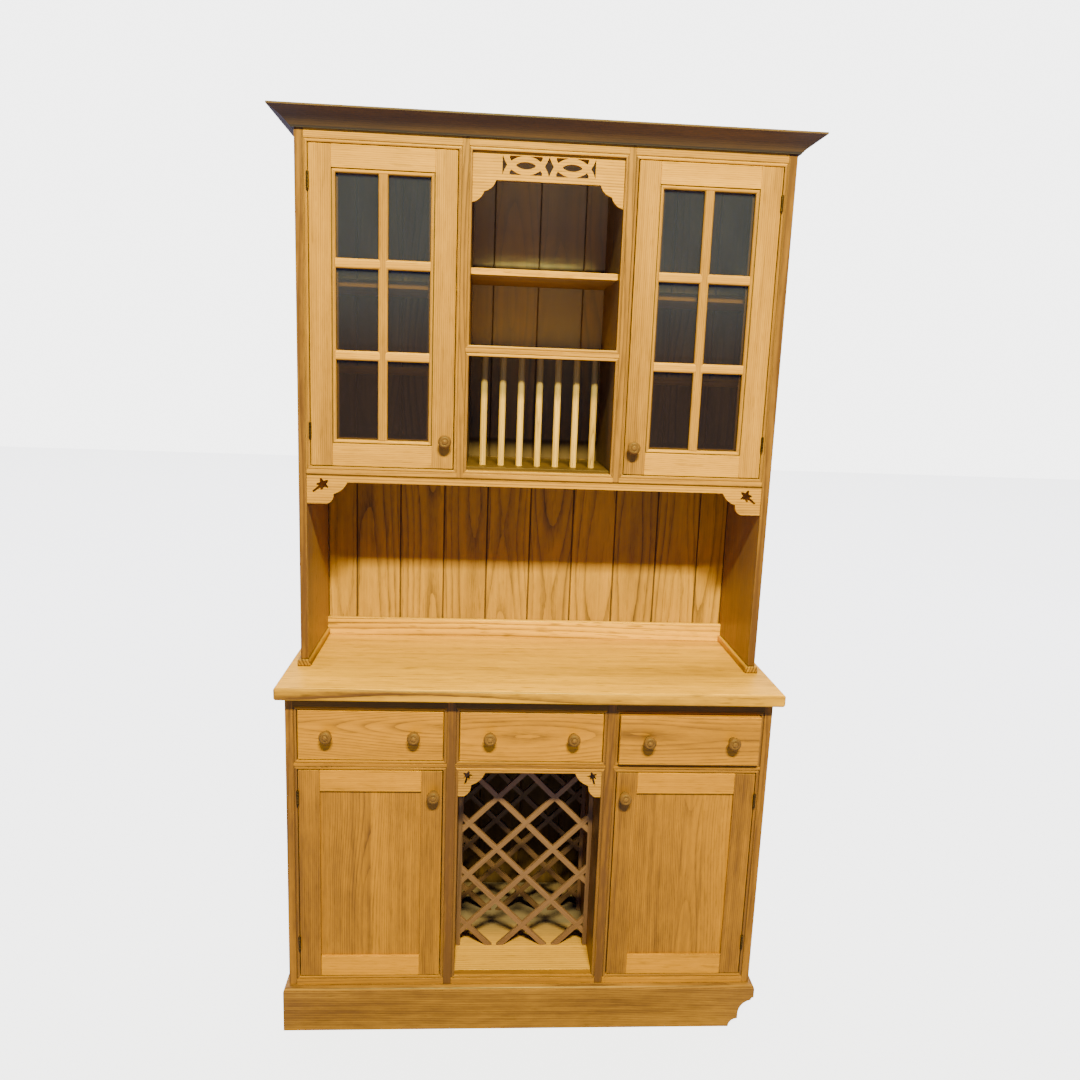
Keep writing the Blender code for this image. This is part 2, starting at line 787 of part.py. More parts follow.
def frieze_openings(centre):
    """The holes of the pierced panel, in two bays side by side.

    In each bay a bow springs from the lower corners and crosses its own mirror image.  The wood
    is the band along both bows, and every region between the bands and the border is sawn out.
    """
    half = frieze_pierced_width / 4
    height = frieze_pierced_height / 2
    drop = bow_radius - bow_rise
    inner = bow_radius - bow_width / 2
    outer = bow_radius + bow_width / 2

    def crest(x, radius):
        return math.sqrt(radius * radius - x * x) - drop

    def region(start, end, low, high):
        """Points round the area between two curves, where it is wide enough for a saw."""
        steps = 20
        xs = [start + (end - start) * step / steps for step in range(steps + 1)]
        pairs = [(x, low(x), min(high(x), height)) for x in xs]
        pairs = [pair for pair in pairs if pair[2] - pair[1] > fret_kerf]
        return [(x, z) for x, z, _ in pairs] + [(x, z) for x, _, z in reversed(pairs)]

    def above_bows(x):
        return max(crest(x, outer), -crest(x, inner))

    def beside_bows(x):
        return min(height, -crest(half - abs(x), outer))

    tip = math.sqrt(inner * inner - drop * drop)
    side = half - math.sqrt(outer * outer - drop * drop)
    lens = region(-tip, tip, lambda x: -crest(x, inner), lambda x: crest(x, inner))
    corner = region(0.0, inner - 0.0002, above_bows, lambda x: height)
    diamond = region(-side, side, lambda x: -beside_bows(x), beside_bows)
    edge = region(0.0, side, lambda x: -beside_bows(x), beside_bows)
    holes = [[(x, centre + z) for x, z in diamond]]
    for bay in (-1, 1):
        middle = bay * half
        holes.append([(middle + x, centre + z) for x, z in lens])
        holes.append([(bay * (2 * half - x), centre + z) for x, z in edge])
        for across in (-1, 1):
            for up in (-1, 1):
                holes.append([(middle + across * x, centre + up * z) for x, z in corner])
    return holes


def make_frieze():
    """The pierced frieze at the head of the open bay, with lobed ends, inside the face frame."""
    half = half_bay - seat
    level = cabinet_opening_top - frieze_height
    outline = bracketed(half, cabinet_opening_top + bay_head_rise - seat, level, frieze_foot[0],
                        frieze_notch, frieze_foot)
    centre = level + frieze_bottom_border + frieze_pierced_height / 2
    face = hutch_front + frieze_setback
    return sawn("fret_frieze", outline, frieze_openings(centre), fret_thickness, oak_pale,
                middle=face + fret_thickness / 2)


def make_pelmet():
    """The rail under the face frame of the cabinet, with its two brackets."""
    half = half_hutch - panel - seat
    top = cabinet_underside - seat
    level = cabinet_underside - pelmet_drop
    outline = bracketed(half, top, level, bracket_reach, bracket_notch, bracket_foot)
    face = hutch_front + pelmet_setback
    leaves = leaf_pair(half, leaf_inset, level - leaf_drop, leaf_radius, leaf_stem, leaf_lean)
    return sawn("pelmet", outline, leaves, pelmet_thickness, oak,
                middle=face + pelmet_thickness / 2)


def make_drawer(word, left, right, knob_spacing, ajar):
    """A drawer: its front, the open box behind it and two knobs."""
    face = front - ajar
    slide = pivot(f"drawer_{word}_slide", ((left + right) / 2, face, drawer_bottom))
    centre = (left + right) / 2
    head = board(f"drawer_{word}_front",
                 (left + drawer_gap, face, drawer_bottom + drawer_gap),
                 (right - drawer_gap, face + door_thickness, drawer_top - drawer_gap),
                 oak_pale, arris)
    width = right - left - 2 * box_side_clearance
    height = drawer_opening_height - drawer_headroom
    shape = bmesh.new()
    bmesh.ops.create_cube(shape, size=1.0)
    bmesh.ops.scale(shape, vec=(width, drawer_length, height), verts=shape.verts)
    lid = [side for side in shape.faces if side.normal.z > 0.5]
    bmesh.ops.delete(shape, geom=lid, context="FACES_ONLY")
    place = (centre, face + door_thickness + seat + drawer_length / 2,
             drawer_bottom + drawer_lift + height / 2)
    box = keep(f"drawer_{word}_box", shape, oak_deep, location=place)
    walls = box.modifiers.new("walls", "SOLIDIFY")
    walls.thickness = drawer_side
    walls.offset = -1
    walls.use_even_offset = True
    level = (drawer_bottom + drawer_top) / 2 + drawer_knob_rise
    knobs = [knob(f"drawer_{word}_knob_{name}", centre + sign * knob_spacing / 2, level, face)
             for name, sign in (("left", -1), ("right", 1))]
    carry(slide, [head, box, *knobs])


def hinge(name, side, edge, face, bottom):
    """Half of a butt hinge: the leaf on the case and the barrel in front of the gap."""
    axis = (side * (edge - door_gap / 2), face - hinge_barrel_radius - seat)
    radius = hinge_barrel_radius
    dome = 0.4 * radius
    profile = [(0.0, hinge_height), (0.7 * radius, hinge_height - 0.3 * dome),
               (radius, hinge_height - dome), (radius, dome), (0.7 * radius, 0.3 * dome), (0.0, 0.0)]
    barrel = turned(f"{name}_barrel", profile, 12, None, (*axis, bottom), helper=True)
    inset = side * (edge - seat - hinge_leaf_thickness)
    leaf_plate = board(name, (inset, axis[1], bottom + dome),
                       (side * (edge - seat), face + hinge_leaf_depth, bottom + hinge_height - dome),
                       antique_brass)
    return combine(leaf_plate, [barrel], "UNION")


def make_base_door(word, side):
    """A frame-and-panel door: the panel is held in a groove round the frame."""
    left, right = sorted((side * (base_inner + door_gap), side * (base_outer - door_gap)))
    bottom = opening_bottom + door_gap
    top = door_top - door_gap
    axis = (side * (base_outer - door_gap / 2), front - hinge_barrel_radius - seat, bottom)
    swing = pivot(f"door_base_{word}_pivot", axis)
    light = (left + base_door_stile, right - base_door_stile, bottom + base_door_rail,
             top - base_door_rail)
    frame = sawn(f"door_base_{word}_frame", rectangle(left, right, bottom, top), [rectangle(*light)],
                 door_thickness, oak_pale, ease=arris, middle=front + door_thickness / 2)
    reach = panel_tongue + seat
    groove = board(f"door_base_{word}_groove",
                   (light[0] - reach, front + panel_recess - seat, light[2] - reach),
                   (light[1] + reach, front + panel_recess + base_door_panel + seat,
                    light[3] + reach), helper=True)
    combine(frame, [groove], "DIFFERENCE")
    field = board(f"door_base_{word}_panel",
                  (light[0] - panel_tongue, front + panel_recess, light[2] - panel_tongue),
                  (light[1] + panel_tongue, front + panel_recess + base_door_panel,
                   light[3] + panel_tongue), oak)
    handle = knob(f"door_base_{word}_knob", side * (base_inner + base_door_knob_inset),
                  door_top - base_door_knob_drop, front)
    carry(swing, [frame, field, handle])
    for name, low in (("upper", door_top - base_hinge_top_inset - hinge_height),
                      ("lower", opening_bottom + base_hinge_bottom_inset)):
        hinge(f"hinge_base_{word}_{name}", side, base_outer, front, low)


def make_glazed_door(word, side):
    """A glazed door: stiles, rails and bars in one frame, with one sheet of glass behind."""
    left, right = sorted((side * (glazed_inner + door_gap), side * (glazed_outer - door_gap)))
    bottom = cabinet_opening_bottom + door_gap
    top = cabinet_opening_top - door_gap
    axis = (side * (glazed_outer - door_gap / 2), hutch_front - hinge_barrel_radius - seat, bottom)
    swing = pivot(f"door_glazed_{word}_pivot", axis)
    light = (left + glazed_door_stile, right - glazed_door_stile, bottom + glazed_door_bottom_rail,
             top - glazed_door_top_rail)
    pane_width = (light[1] - light[0] - (pane_columns - 1) * glazing_bar) / pane_columns
    pane_height = (light[3] - light[2] - (pane_rows - 1) * glazing_bar) / pane_rows
    panes = []
    for column in range(pane_columns):
        for row in range(pane_rows):
            x = light[0] + column * (pane_width + glazing_bar)
            z = light[2] + row * (pane_height + glazing_bar)
            panes.append(rectangle(x, x + pane_width, z, z + pane_height))
    frame = sawn(f"door_glazed_{word}_frame", rectangle(left, right, bottom, top), panes,
                 door_thickness, oak_pale, ease=arris,
                 middle=hutch_front + door_thickness / 2)
    reach = glazing_rebate + seat
    rebate = board(f"door_glazed_{word}_rebate",
                   (light[0] - reach, hutch_front + glazing_depth, light[2] - reach),
                   (light[1] + reach, hutch_front + 2 * door_thickness, light[3] + reach),
                   helper=True)
    groove = quirk(f"door_glazed_{word}_quirk", light, hutch_front, moulding_width)
    combine(frame, [rebate, groove], "DIFFERENCE")
    glass = board(f"door_glazed_{word}_glass",
                  (light[0] - glazing_rebate, hutch_front + glazing_depth + seat,
                   light[2] - glazing_rebate),
                  (light[1] + glazing_rebate, hutch_front + glazing_depth + seat + glass_thickness,
                   light[3] + glazing_rebate), clear_glass)
    handle = knob(f"door_glazed_{word}_knob", side * (glazed_inner + glazed_door_knob_inset),
                  cabinet_opening_bottom + glazed_door_knob_rise, hutch_front)
    carry(swing, [frame, glass, handle])
    for name, low in (("upper", cabinet_opening_top - glazed_hinge_top_inset - hinge_height),
                      ("lower", cabinet_opening_bottom + glazed_hinge_bottom_inset)):
        hinge(f"hinge_glazed_{word}_{name}", side, glazed_outer, hutch_front, low)


def build():
    make_plinth()
    inside = half_width - panel - seat
    board("base_floor", (-inside, front + frame_thickness + seat, opening_bottom - panel),
          (inside, back_face - seat, opening_bottom), oak)
    vee_boards("base_back", inside, plinth_height + seat, worktop_underside - seat, back_thickness,
               oak_deep)
    for word, side in (("left", -1), ("right", 1)):
        make_base_side(f"base_side_{word}", side)
        make_base_divider(f"base_divider_{word}", side)
        make_hutch_side(f"hutch_side_{word}", side)
        make_hutch_divider(f"hutch_divider_{word}", side)
        make_base_door(word, side)
        make_glazed_door(word, side)
    make_base_face_frame()
    make_worktop()
    make_wine_rack("wine_rack_front", rack_front_setback)
    make_wine_rack("wine_rack_rear", rack_rear_setback)
    make_hutch_foot_rail()
    vee_boards("hutch_back", half_hutch - panel - seat, worktop_height + seat, cabinet_top - seat,
               back_thickness, oak)
    make_hutch_floor()
    make_plate_rack()
    make_hutch_face_frame()
    make_cornice()
    make_shelves()
    make_frieze()
    make_pelmet()
    make_drawer("left", -base_outer, -base_inner, drawer_knob_spacing, 0.0)
    make_drawer("centre", -half_niche, half_niche, middle_drawer_knob_spacing, 0.0)
    make_drawer("right", base_inner, base_outer, drawer_knob_spacing, drawer_ajar)


build()
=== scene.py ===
# %% [markdown]
# # An oak kitchen dresser, piece by piece
#
# The frame gives sixty plain solids with their real sizes and joints.  This lesson dresses them:
# every board gets its own run of grain, its eased arrises and its joints, and the mouldings get
# their full curves.  A cabinet maker cuts nearly everything here as a straight length with one
# profile, so one helper that carries a profile along a line makes most of the piece.

# %% The frame and its box
import json
import math

import bmesh
import bpy
import numpy as np
from mathutils import Matrix, Vector


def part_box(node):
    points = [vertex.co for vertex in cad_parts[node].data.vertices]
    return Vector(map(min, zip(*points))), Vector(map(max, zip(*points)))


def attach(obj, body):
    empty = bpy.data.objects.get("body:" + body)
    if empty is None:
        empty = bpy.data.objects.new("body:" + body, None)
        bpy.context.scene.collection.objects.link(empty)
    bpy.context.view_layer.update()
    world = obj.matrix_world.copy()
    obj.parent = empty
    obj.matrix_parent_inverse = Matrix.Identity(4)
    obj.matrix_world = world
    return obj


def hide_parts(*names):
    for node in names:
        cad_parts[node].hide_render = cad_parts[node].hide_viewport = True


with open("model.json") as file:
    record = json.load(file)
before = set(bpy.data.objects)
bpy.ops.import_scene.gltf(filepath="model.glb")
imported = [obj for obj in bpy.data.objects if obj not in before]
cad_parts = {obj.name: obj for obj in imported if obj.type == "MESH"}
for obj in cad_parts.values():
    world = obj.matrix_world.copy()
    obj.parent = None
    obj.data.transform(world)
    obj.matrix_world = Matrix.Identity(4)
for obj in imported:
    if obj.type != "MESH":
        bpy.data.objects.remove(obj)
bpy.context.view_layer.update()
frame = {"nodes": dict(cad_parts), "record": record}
print("frame nodes:", len(frame["nodes"]))


def span(node):
    """The six limits of a solid: left, right, front, back, bottom, top."""
    low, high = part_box(node)
    return low[0], high[0], low[1], high[1], low[2], high[2]


# %% [markdown]
# ## Shader maths as Python expressions
#
# A wood finish is mostly arithmetic on the place inside the log.  Wrapping a socket in a small
# class lets that arithmetic be written as plain expressions, and each one adds its Math nodes.

# %% A socket that can be added and multiplied
def operator_node(operation, flipped=False):
    """A method that adds one Math node for the socket and what it is given."""
    def act(self, *others):
        values = (self, *others)
        return self.math(operation, *(values[::-1] if flipped else values))
    return act


class Sock:
    """One output of a node tree.  Arithmetic on it adds Math nodes."""

    def __init__(self, graph, socket):
        self.graph = graph
        self.socket = socket

    def math(self, operation, *values):
        return self.graph.make("ShaderNodeMath", {"operation": operation}, dict(enumerate(values)))

    __add__ = __radd__ = operator_node("ADD")
    __sub__, __rsub__ = operator_node("SUBTRACT"), operator_node("SUBTRACT", flipped=True)
    __mul__ = __rmul__ = operator_node("MULTIPLY")
    __truediv__, __pow__ = operator_node("DIVIDE"), operator_node("POWER")
    root, fraction = operator_node("SQRT"), operator_node("FRACT")
    size = operator_node("ABSOLUTE")

    def clamp(self, low=0.0, high=1.0):
        return self.math("MINIMUM", self.math("MAXIMUM", self, low), high)


class Graph:
    """The node tree of a material or of the world."""

    def __init__(self, owner):
        owner.use_nodes = True
        self.owner = owner
        self.tree = owner.node_tree

    def fill(self, node, values):
        """Link or set some of a node's sockets."""
        for key, value in values.items():
            if isinstance(value, Sock):
                self.tree.links.new(value.socket, node.inputs[key])
            else:
                node.inputs[key].default_value = value

    def make(self, kind, settings=None, inputs=None, output=0):
        """Add one node: its settings first, then the values or links of its sockets."""
        node = self.tree.nodes.new(kind)
        for key, value in (settings or {}).items():
            setattr(node, key, value)
        self.fill(node, inputs or {})
        return Sock(self, node.outputs[output])

    def split(self, vector):
        return [self.make("ShaderNodeSeparateXYZ", None, {0: vector}, axis) for axis in range(3)]

    def attribute(self, name):
        """A vector attribute, as its three parts."""
        return self.split(self.make("ShaderNodeAttribute", {"attribute_name": name}, None, "Vector"))

    def place(self):
        """The place in the object, as its three parts."""
        return self.split(self.make("ShaderNodeTexCoord", None, None, "Object"))

    def join(self, x, y, z):
        return self.make("ShaderNodeCombineXYZ", None, {0: x, 1: y, 2: z})

    def noise(self, vector, detail=2.0, roughness=0.5):
        inputs = {"Vector": vector, "Scale": 1.0, "Detail": detail, "Roughness": roughness}
        return self.make("ShaderNodeTexNoise", None, inputs, "Fac")

    def blend(self, first, second, share):
        """A colour between two colours, or beyond the first one for a share below 0."""
        inputs = {0: share, 6: first, 7: second}
        return self.make("ShaderNodeMix", {"data_type": "RGBA", "clamp_factor": False}, inputs, 2)

    def bump(self, height, strength, distance):
        inputs = {"Height": height, "Strength": strength, "Distance": distance}
        return self.make("ShaderNodeBump", None, inputs, "Normal")

    def finish(self, **sockets):
        """Set or link the shader's own sockets, named with underscores for spaces."""
        shader = self.tree.nodes["Principled BSDF"]
        self.fill(shader, {key.replace("_", " "): value for key, value in sockets.items()})
        return self.owner

    def seen_as(self, share, usual, shown):
        """Light the scene with one shader, and show the camera a share of another one."""
        seen = self.make("ShaderNodeLightPath", None, None, "Is Camera Ray") * share
        both = self.make("ShaderNodeMixShader", None, {0: seen, 1: usual, 2: shown})
        output = next(node for node in self.tree.nodes if "Surface" in node.inputs)
        self.fill(output, {"Surface": both})


def paint(red, green, blue):
    """A display colour of 0 to 255 as the linear colour a shader needs."""
    parts = [part / 255 for part in (red, green, blue)]
    return (*[p / 12.92 if p < 0.04045 else ((p + 0.055) / 1.055) ** 2.4 for p in parts], 1.0)


# %% [markdown]
# ## Oak
#
# Oak is ring-porous: each year it starts with a band of open pores and ends with dense, paler
# wood.  The attribute called grain says where a point lies in its own log, along it and across it
# from the pith, so the rings are circles round the pith, bent by slow noise as a real trunk is.
# A board cut far from the pith shows straight lines, and one cut close to it shows arches.

# %% The oak finish
WANDER = 0.110              # how far the rings stray as they run along a board
RIPPLE = (0.0013, 60.0)     # the small zigzag on each ring: how far, and how often across
PALE = (0.43, 0.192, 0.032, 1.0)
DEEP = (0.092, 0.038, 0.022, 1.0)
PORE = (0.050, 0.022, 0.008, 1.0)
# the dark that quirks take with dirt, and that recesses and down-facing parts take as painted shade
DIRT_AND_SHADE = (0.040, 0.022, 0.013, 1.0)
# the grey of painted shade inside the bay and the rack
SHADE_GREY = (0.560, 0.525, 0.560, 1.0)
BASE_PALE = (0.42, 0.168, 0.004, 1.0)
BASE_DEEP = (0.088, 0.036, 0.022, 1.0)
WORKTOP_PALE = (0.62, 0.288, 0.002, 1.0)
BACK_PALE = (0.40, 0.190, 0.036, 1.0)
BACK_DEEP = (0.076, 0.038, 0.032, 1.0)
RACK_PALE = (0.172, 0.086, 0.088, 1.0)
RACK_DEEP = (0.066, 0.034, 0.038, 1.0)
KNOB_PALE = (0.23, 0.104, 0.040, 1.0)
KNOB_DEEP = (0.076, 0.033, 0.020, 1.0)


def oak(name, ring, figure, base=0.30, pale=PALE, deep=DEEP, gloss=0.34, ripple=RIPPLE, line=3.5,
        dirt_and_shade=DIRT_AND_SHADE, flecks=0.25):
    """Rings, pores, fibres and slow clouds of colour over the grain attribute.

    ring is a year's growth in metres, figure how strongly it shows, base the share of deep colour,
    line how narrow the open early wood of each ring is, and flecks how dark the short streaks are.
    """
    graph = Graph(bpy.data.materials.new(name))
    along, across, depth = graph.attribute("grain")
    edge, tone, grime = graph.attribute("look")

    def spots(lengthwise, sideways, detail=2.0, roughness=0.5):
        """Noise in its own scale along the fibres and across them."""
        place = graph.join(along * lengthwise, across * sideways, depth * sideways)
        return graph.noise(place, detail, roughness)

    quarter = ((across.size() - 0.08) * 30.0).clamp()
    wander = (spots(1.1, 1.7, 1.0) - 0.5) * (1.0 - quarter * 0.8)
    reach, often = ripple
    zigzag = spots(9.0, often, 3.0, 0.6) - 0.5
    radius = (across * across + depth * depth).root() + wander * WANDER + zigzag * reach
    year = (radius / ring).fraction()
    early = (1.0 - year) ** line
    late = year ** 9.0
    fibre = spots(7.0, 520.0, 3.0, 0.6)
    streak = spots(2.2, 95.0)
    cloud = spots(1.3, 9.0)
    holes = spots(42.0, 1500.0, 1.0)
    pores = ((holes - 0.54) * 9.0).clamp() * (early * 0.9 + 0.12)
    weight = graph.noise(graph.join(radius / ring * 0.45, along * 0.8, across * 6.0), 1.0)
    mottle = spots(17.0, 60.0, 3.0, 0.6)
    rings = (early + late * 0.35) * (weight * 2.4 - 0.2)
    stripe = rings * figure + (fibre - 0.5) * 0.45 + (streak - 0.5) * 0.5 + (cloud - 0.5) * 0.9
    stripe = stripe + (mottle - 0.5) * 0.45
    colour = graph.blend(pale, deep, (stripe + base - tone * 0.5).clamp(-0.45, 1.0))
    short = spots(15.0, 150.0)
    marks = ((short - 0.60) * 9.0).clamp() * flecks
    colour = graph.blend(colour, PORE, (pores * 0.6 + marks).clamp())
    # the third part of look darkens the wood: dirt in quirks, and painted shade in recesses, under
    # overhangs, inside the cabinet and on the cornice
    colour = graph.blend(colour, dirt_and_shade, (grime * (0.55 + cloud * 0.5)).clamp())
    worn = tuple(0.7 * p + 0.3 * q for p, q in zip(pale[:3], (0.60, 0.32, 0.08))) + (1.0,)
    colour = graph.blend(colour, worn, (edge * (streak - 0.3) * 0.6).clamp())
    height = rings * -0.3 - pores + fibre * 0.3
    return graph.finish(
        Base_Color=colour,
        Roughness=(gloss + (fibre - 0.5) * 0.16 + pores * 0.2 + grime * 0.15 - edge * 0.05).clamp(),
        Normal=graph.bump(height, 0.22, 0.0003),
        Specular_IOR_Level=0.12,
    )


oak_hutch = oak("oak_hutch", 0.0045, 0.38, 0.22)
# its dirt colour is the grey-brown of painted shade inside the hutch
oak_inside = oak("oak_inside", 0.0045, 0.38, 0.30, dirt_and_shade=(0.090, 0.062, 0.058, 1.0))
oak_base = oak("oak_base", 0.0045, 0.27, 0.44, BASE_PALE, BASE_DEEP)
oak_drawer = oak("oak_drawer", 0.0052, 0.42, 0.26, BASE_PALE, BASE_DEEP)
oak_worktop = oak("oak_worktop", 0.0070, 0.95, 0.14, WORKTOP_PALE, BASE_DEEP, flecks=0.5)
oak_back = oak("oak_back", 0.0130, 0.50, 0.16, BACK_PALE, BACK_DEEP, ripple=(0.0045, 30.0),
               dirt_and_shade=SHADE_GREY)
oak_dark_back = oak("oak_dark_back", 0.0130, 0.50, 0.30, BACK_PALE, BACK_DEEP,
                    ripple=(0.0045, 30.0))
# its dirt colour is the grey of painted shade behind the wine rack
oak_floor = oak("oak_floor", 0.0080, 0.50, 0.10, BACK_PALE, BACK_DEEP,
                dirt_and_shade=(0.10, 0.073, 0.105, 1.0))
# its dirt colour is the grey of painted shade on the inner faces of the sides
oak_side = oak("oak_side", 0.0045, 0.38, 0.22, dirt_and_shade=(0.24, 0.18, 0.20, 1.0))
oak_fret = oak("oak_fret", 0.0065, 0.70, 0.12)
# its dirt colour is the painted shadow on the dowels' tops
oak_dowel = oak("oak_dowel", 0.0045, 0.38, 0.05, (0.56, 0.31, 0.10, 1.0),
                dirt_and_shade=(0.17, 0.118, 0.075, 1.0))
oak_rack = oak("oak_rack", 0.0040, 0.30, 0.25, RACK_PALE, RACK_DEEP, dirt_and_shade=SHADE_GREY)
# its dirt colour is the dark of the cornice's painted shade
oak_cornice = oak("oak_cornice", 0.0045, 0.30, 0.30, dirt_and_shade=(0.038, 0.028, 0.042, 1.0))
oak_turned = oak("oak_turned", 0.0032, 0.20, 0.60, KNOB_PALE, KNOB_DEEP, gloss=0.42)
print("oak finishes:", 14)

# %% [markdown]
# ## Glass and dark brass
#
# The panes are plain float glass in front of a dark cupboard.  In the photograph their upper half
# shows a grey reflection and their lower half only the brown dark behind, so the panes are painted:
# a grey reflection above gives way with the height to brown painted shade below.  The hinges are
# antiqued brass: nearly black in the hollows and rubbed brown where they are touched.

# %% The two other finishes
REFLECTION_FROM = 1.62      # the height over which the panes turn from brown to grey
REFLECTION_RISE = 0.20


def glass_finish():
    graph = Graph(bpy.data.materials.new("cabinet_glass"))
    x, y, z = graph.place()
    ripple = graph.noise(graph.join(x * 3.0, y * 3.0, z * 2.0), 2.0)
    smear = graph.noise(graph.join(x * 26.0, y * 26.0, z * 9.0), 3.0)
    # painted shade below, the brown of the dark behind the glass, and a painted grey reflection above
    below = graph.blend(paint(32, 22, 27), paint(43, 31, 37), smear)
    above = graph.blend(paint(41, 42, 73), paint(53, 54, 88), smear)
    return graph.finish(
        Base_Color=graph.blend(below, above, ((z - REFLECTION_FROM) / REFLECTION_RISE).clamp()),
        Roughness=0.02 + smear * 0.05,
        Normal=graph.bump(ripple, 0.12, 0.002),
        Alpha=0.42,
        IOR=1.7,
    )


def brass_finish():
    graph = Graph(bpy.data.materials.new("antique_brass"))
    x, y, z = graph.place()
    patina = graph.noise(graph.join(x * 260.0, y * 260.0, z * 140.0), 4.0, 0.65)
    return graph.finish(
        Base_Color=graph.blend(paint(30, 21, 14), paint(88, 62, 34), (patina * 1.6 - 0.45).clamp()),
        Metallic=0.85,
        Roughness=0.32 + patina * 0.3,
        Normal=graph.bump(patina, 0.3, 0.0002),
    )


glass = glass_finish()
brass = brass_finish()
print("other finishes:", glass.name, brass.name)

# %% [markdown]
# ## Lengths of wood
#
# A maker takes a board, planes it to a section and cuts it to length.  Piece.bar does the same: it
# carries a section along a straight line and cuts its ends square or to a mitre.  It also writes
# the grain attribute, so the rings run on through the end grain, and the look attribute, which
# marks rubbed arrises, the tone of the board with painted light and shade in it, and the dirt in
# quirks together with painted shade in recesses.

# %% The workbench
FLAT, STRAIGHT = "flat", "straight"
bench = np.random.default_rng(20)
# painted light: boards laid across are toned paler and upright ones darker, for how light from above
# falls on their fibres
ACROSS, UPRIGHT = 0.50, 0.40    # fibres laid across the light from above shine, upright ones don't
SMOOTH_ANGLE = math.radians(38)
TOUCH = 1e-7                    # a point this near to a stave's edge counts as on it
NEAR_PITH = (0.034, 0.080)      # how far above or below the pith flat boards are cut
BESIDE_PITH = (0.10, 0.22)      # how far to its side straight-grained ones are cut
TONE_SPREAD = 0.28


def arc(centre, reach, start, end, count):
    """Points on an ellipse, or a circle where reach is one number, between two angles in degrees."""
    angles = np.radians(np.linspace(start, end, count))
    return np.column_stack([np.cos(angles), np.sin(angles)]) * reach + centre


def rounded(width, height, radii, steps=3, splits=()):
    """A section: a rectangle round 0 whose corners are arcs of the four radii, anticlockwise from
    the lower left.  Splits add points on its long edges, where glued staves meet.  Returns the
    points and how far each is rubbed, which is 1 at the middle of an arris."""
    points, rubbed = [], []
    corners = ((-1, -1, 180), (1, -1, 270), (1, 1, 0), (-1, 1, 90))
    for (sx, sy, start), radius in zip(corners, radii):
        centre = (sx * (width / 2 - radius), sy * (height / 2 - radius))
        points.append(arc(centre, radius, start, start + 90, steps + 1))
        rubbed.append(1 - np.abs(np.linspace(-1, 1, steps + 1)))
        if (sx, sy) in ((-1, -1), (1, 1)) and len(splits):
            order = sorted(splits, reverse=sy > 0)
            points.append(np.column_stack([order, np.full(len(order), sy * height / 2)]))
            rubbed.append(np.zeros(len(order)))
    return np.concatenate(points), np.concatenate(rubbed)


def by_corner(faces, values):
    """The point number at each corner of the faces, and the value of the corner's face."""
    corners = np.concatenate([np.array(face) for face in faces])
    return corners, np.repeat(np.array(values), [len(face) for face in faces])


def linked(name, data):
    """A new object in the scene."""
    item = bpy.data.objects.new(name, data)
    bpy.context.scene.collection.objects.link(item)
    return item


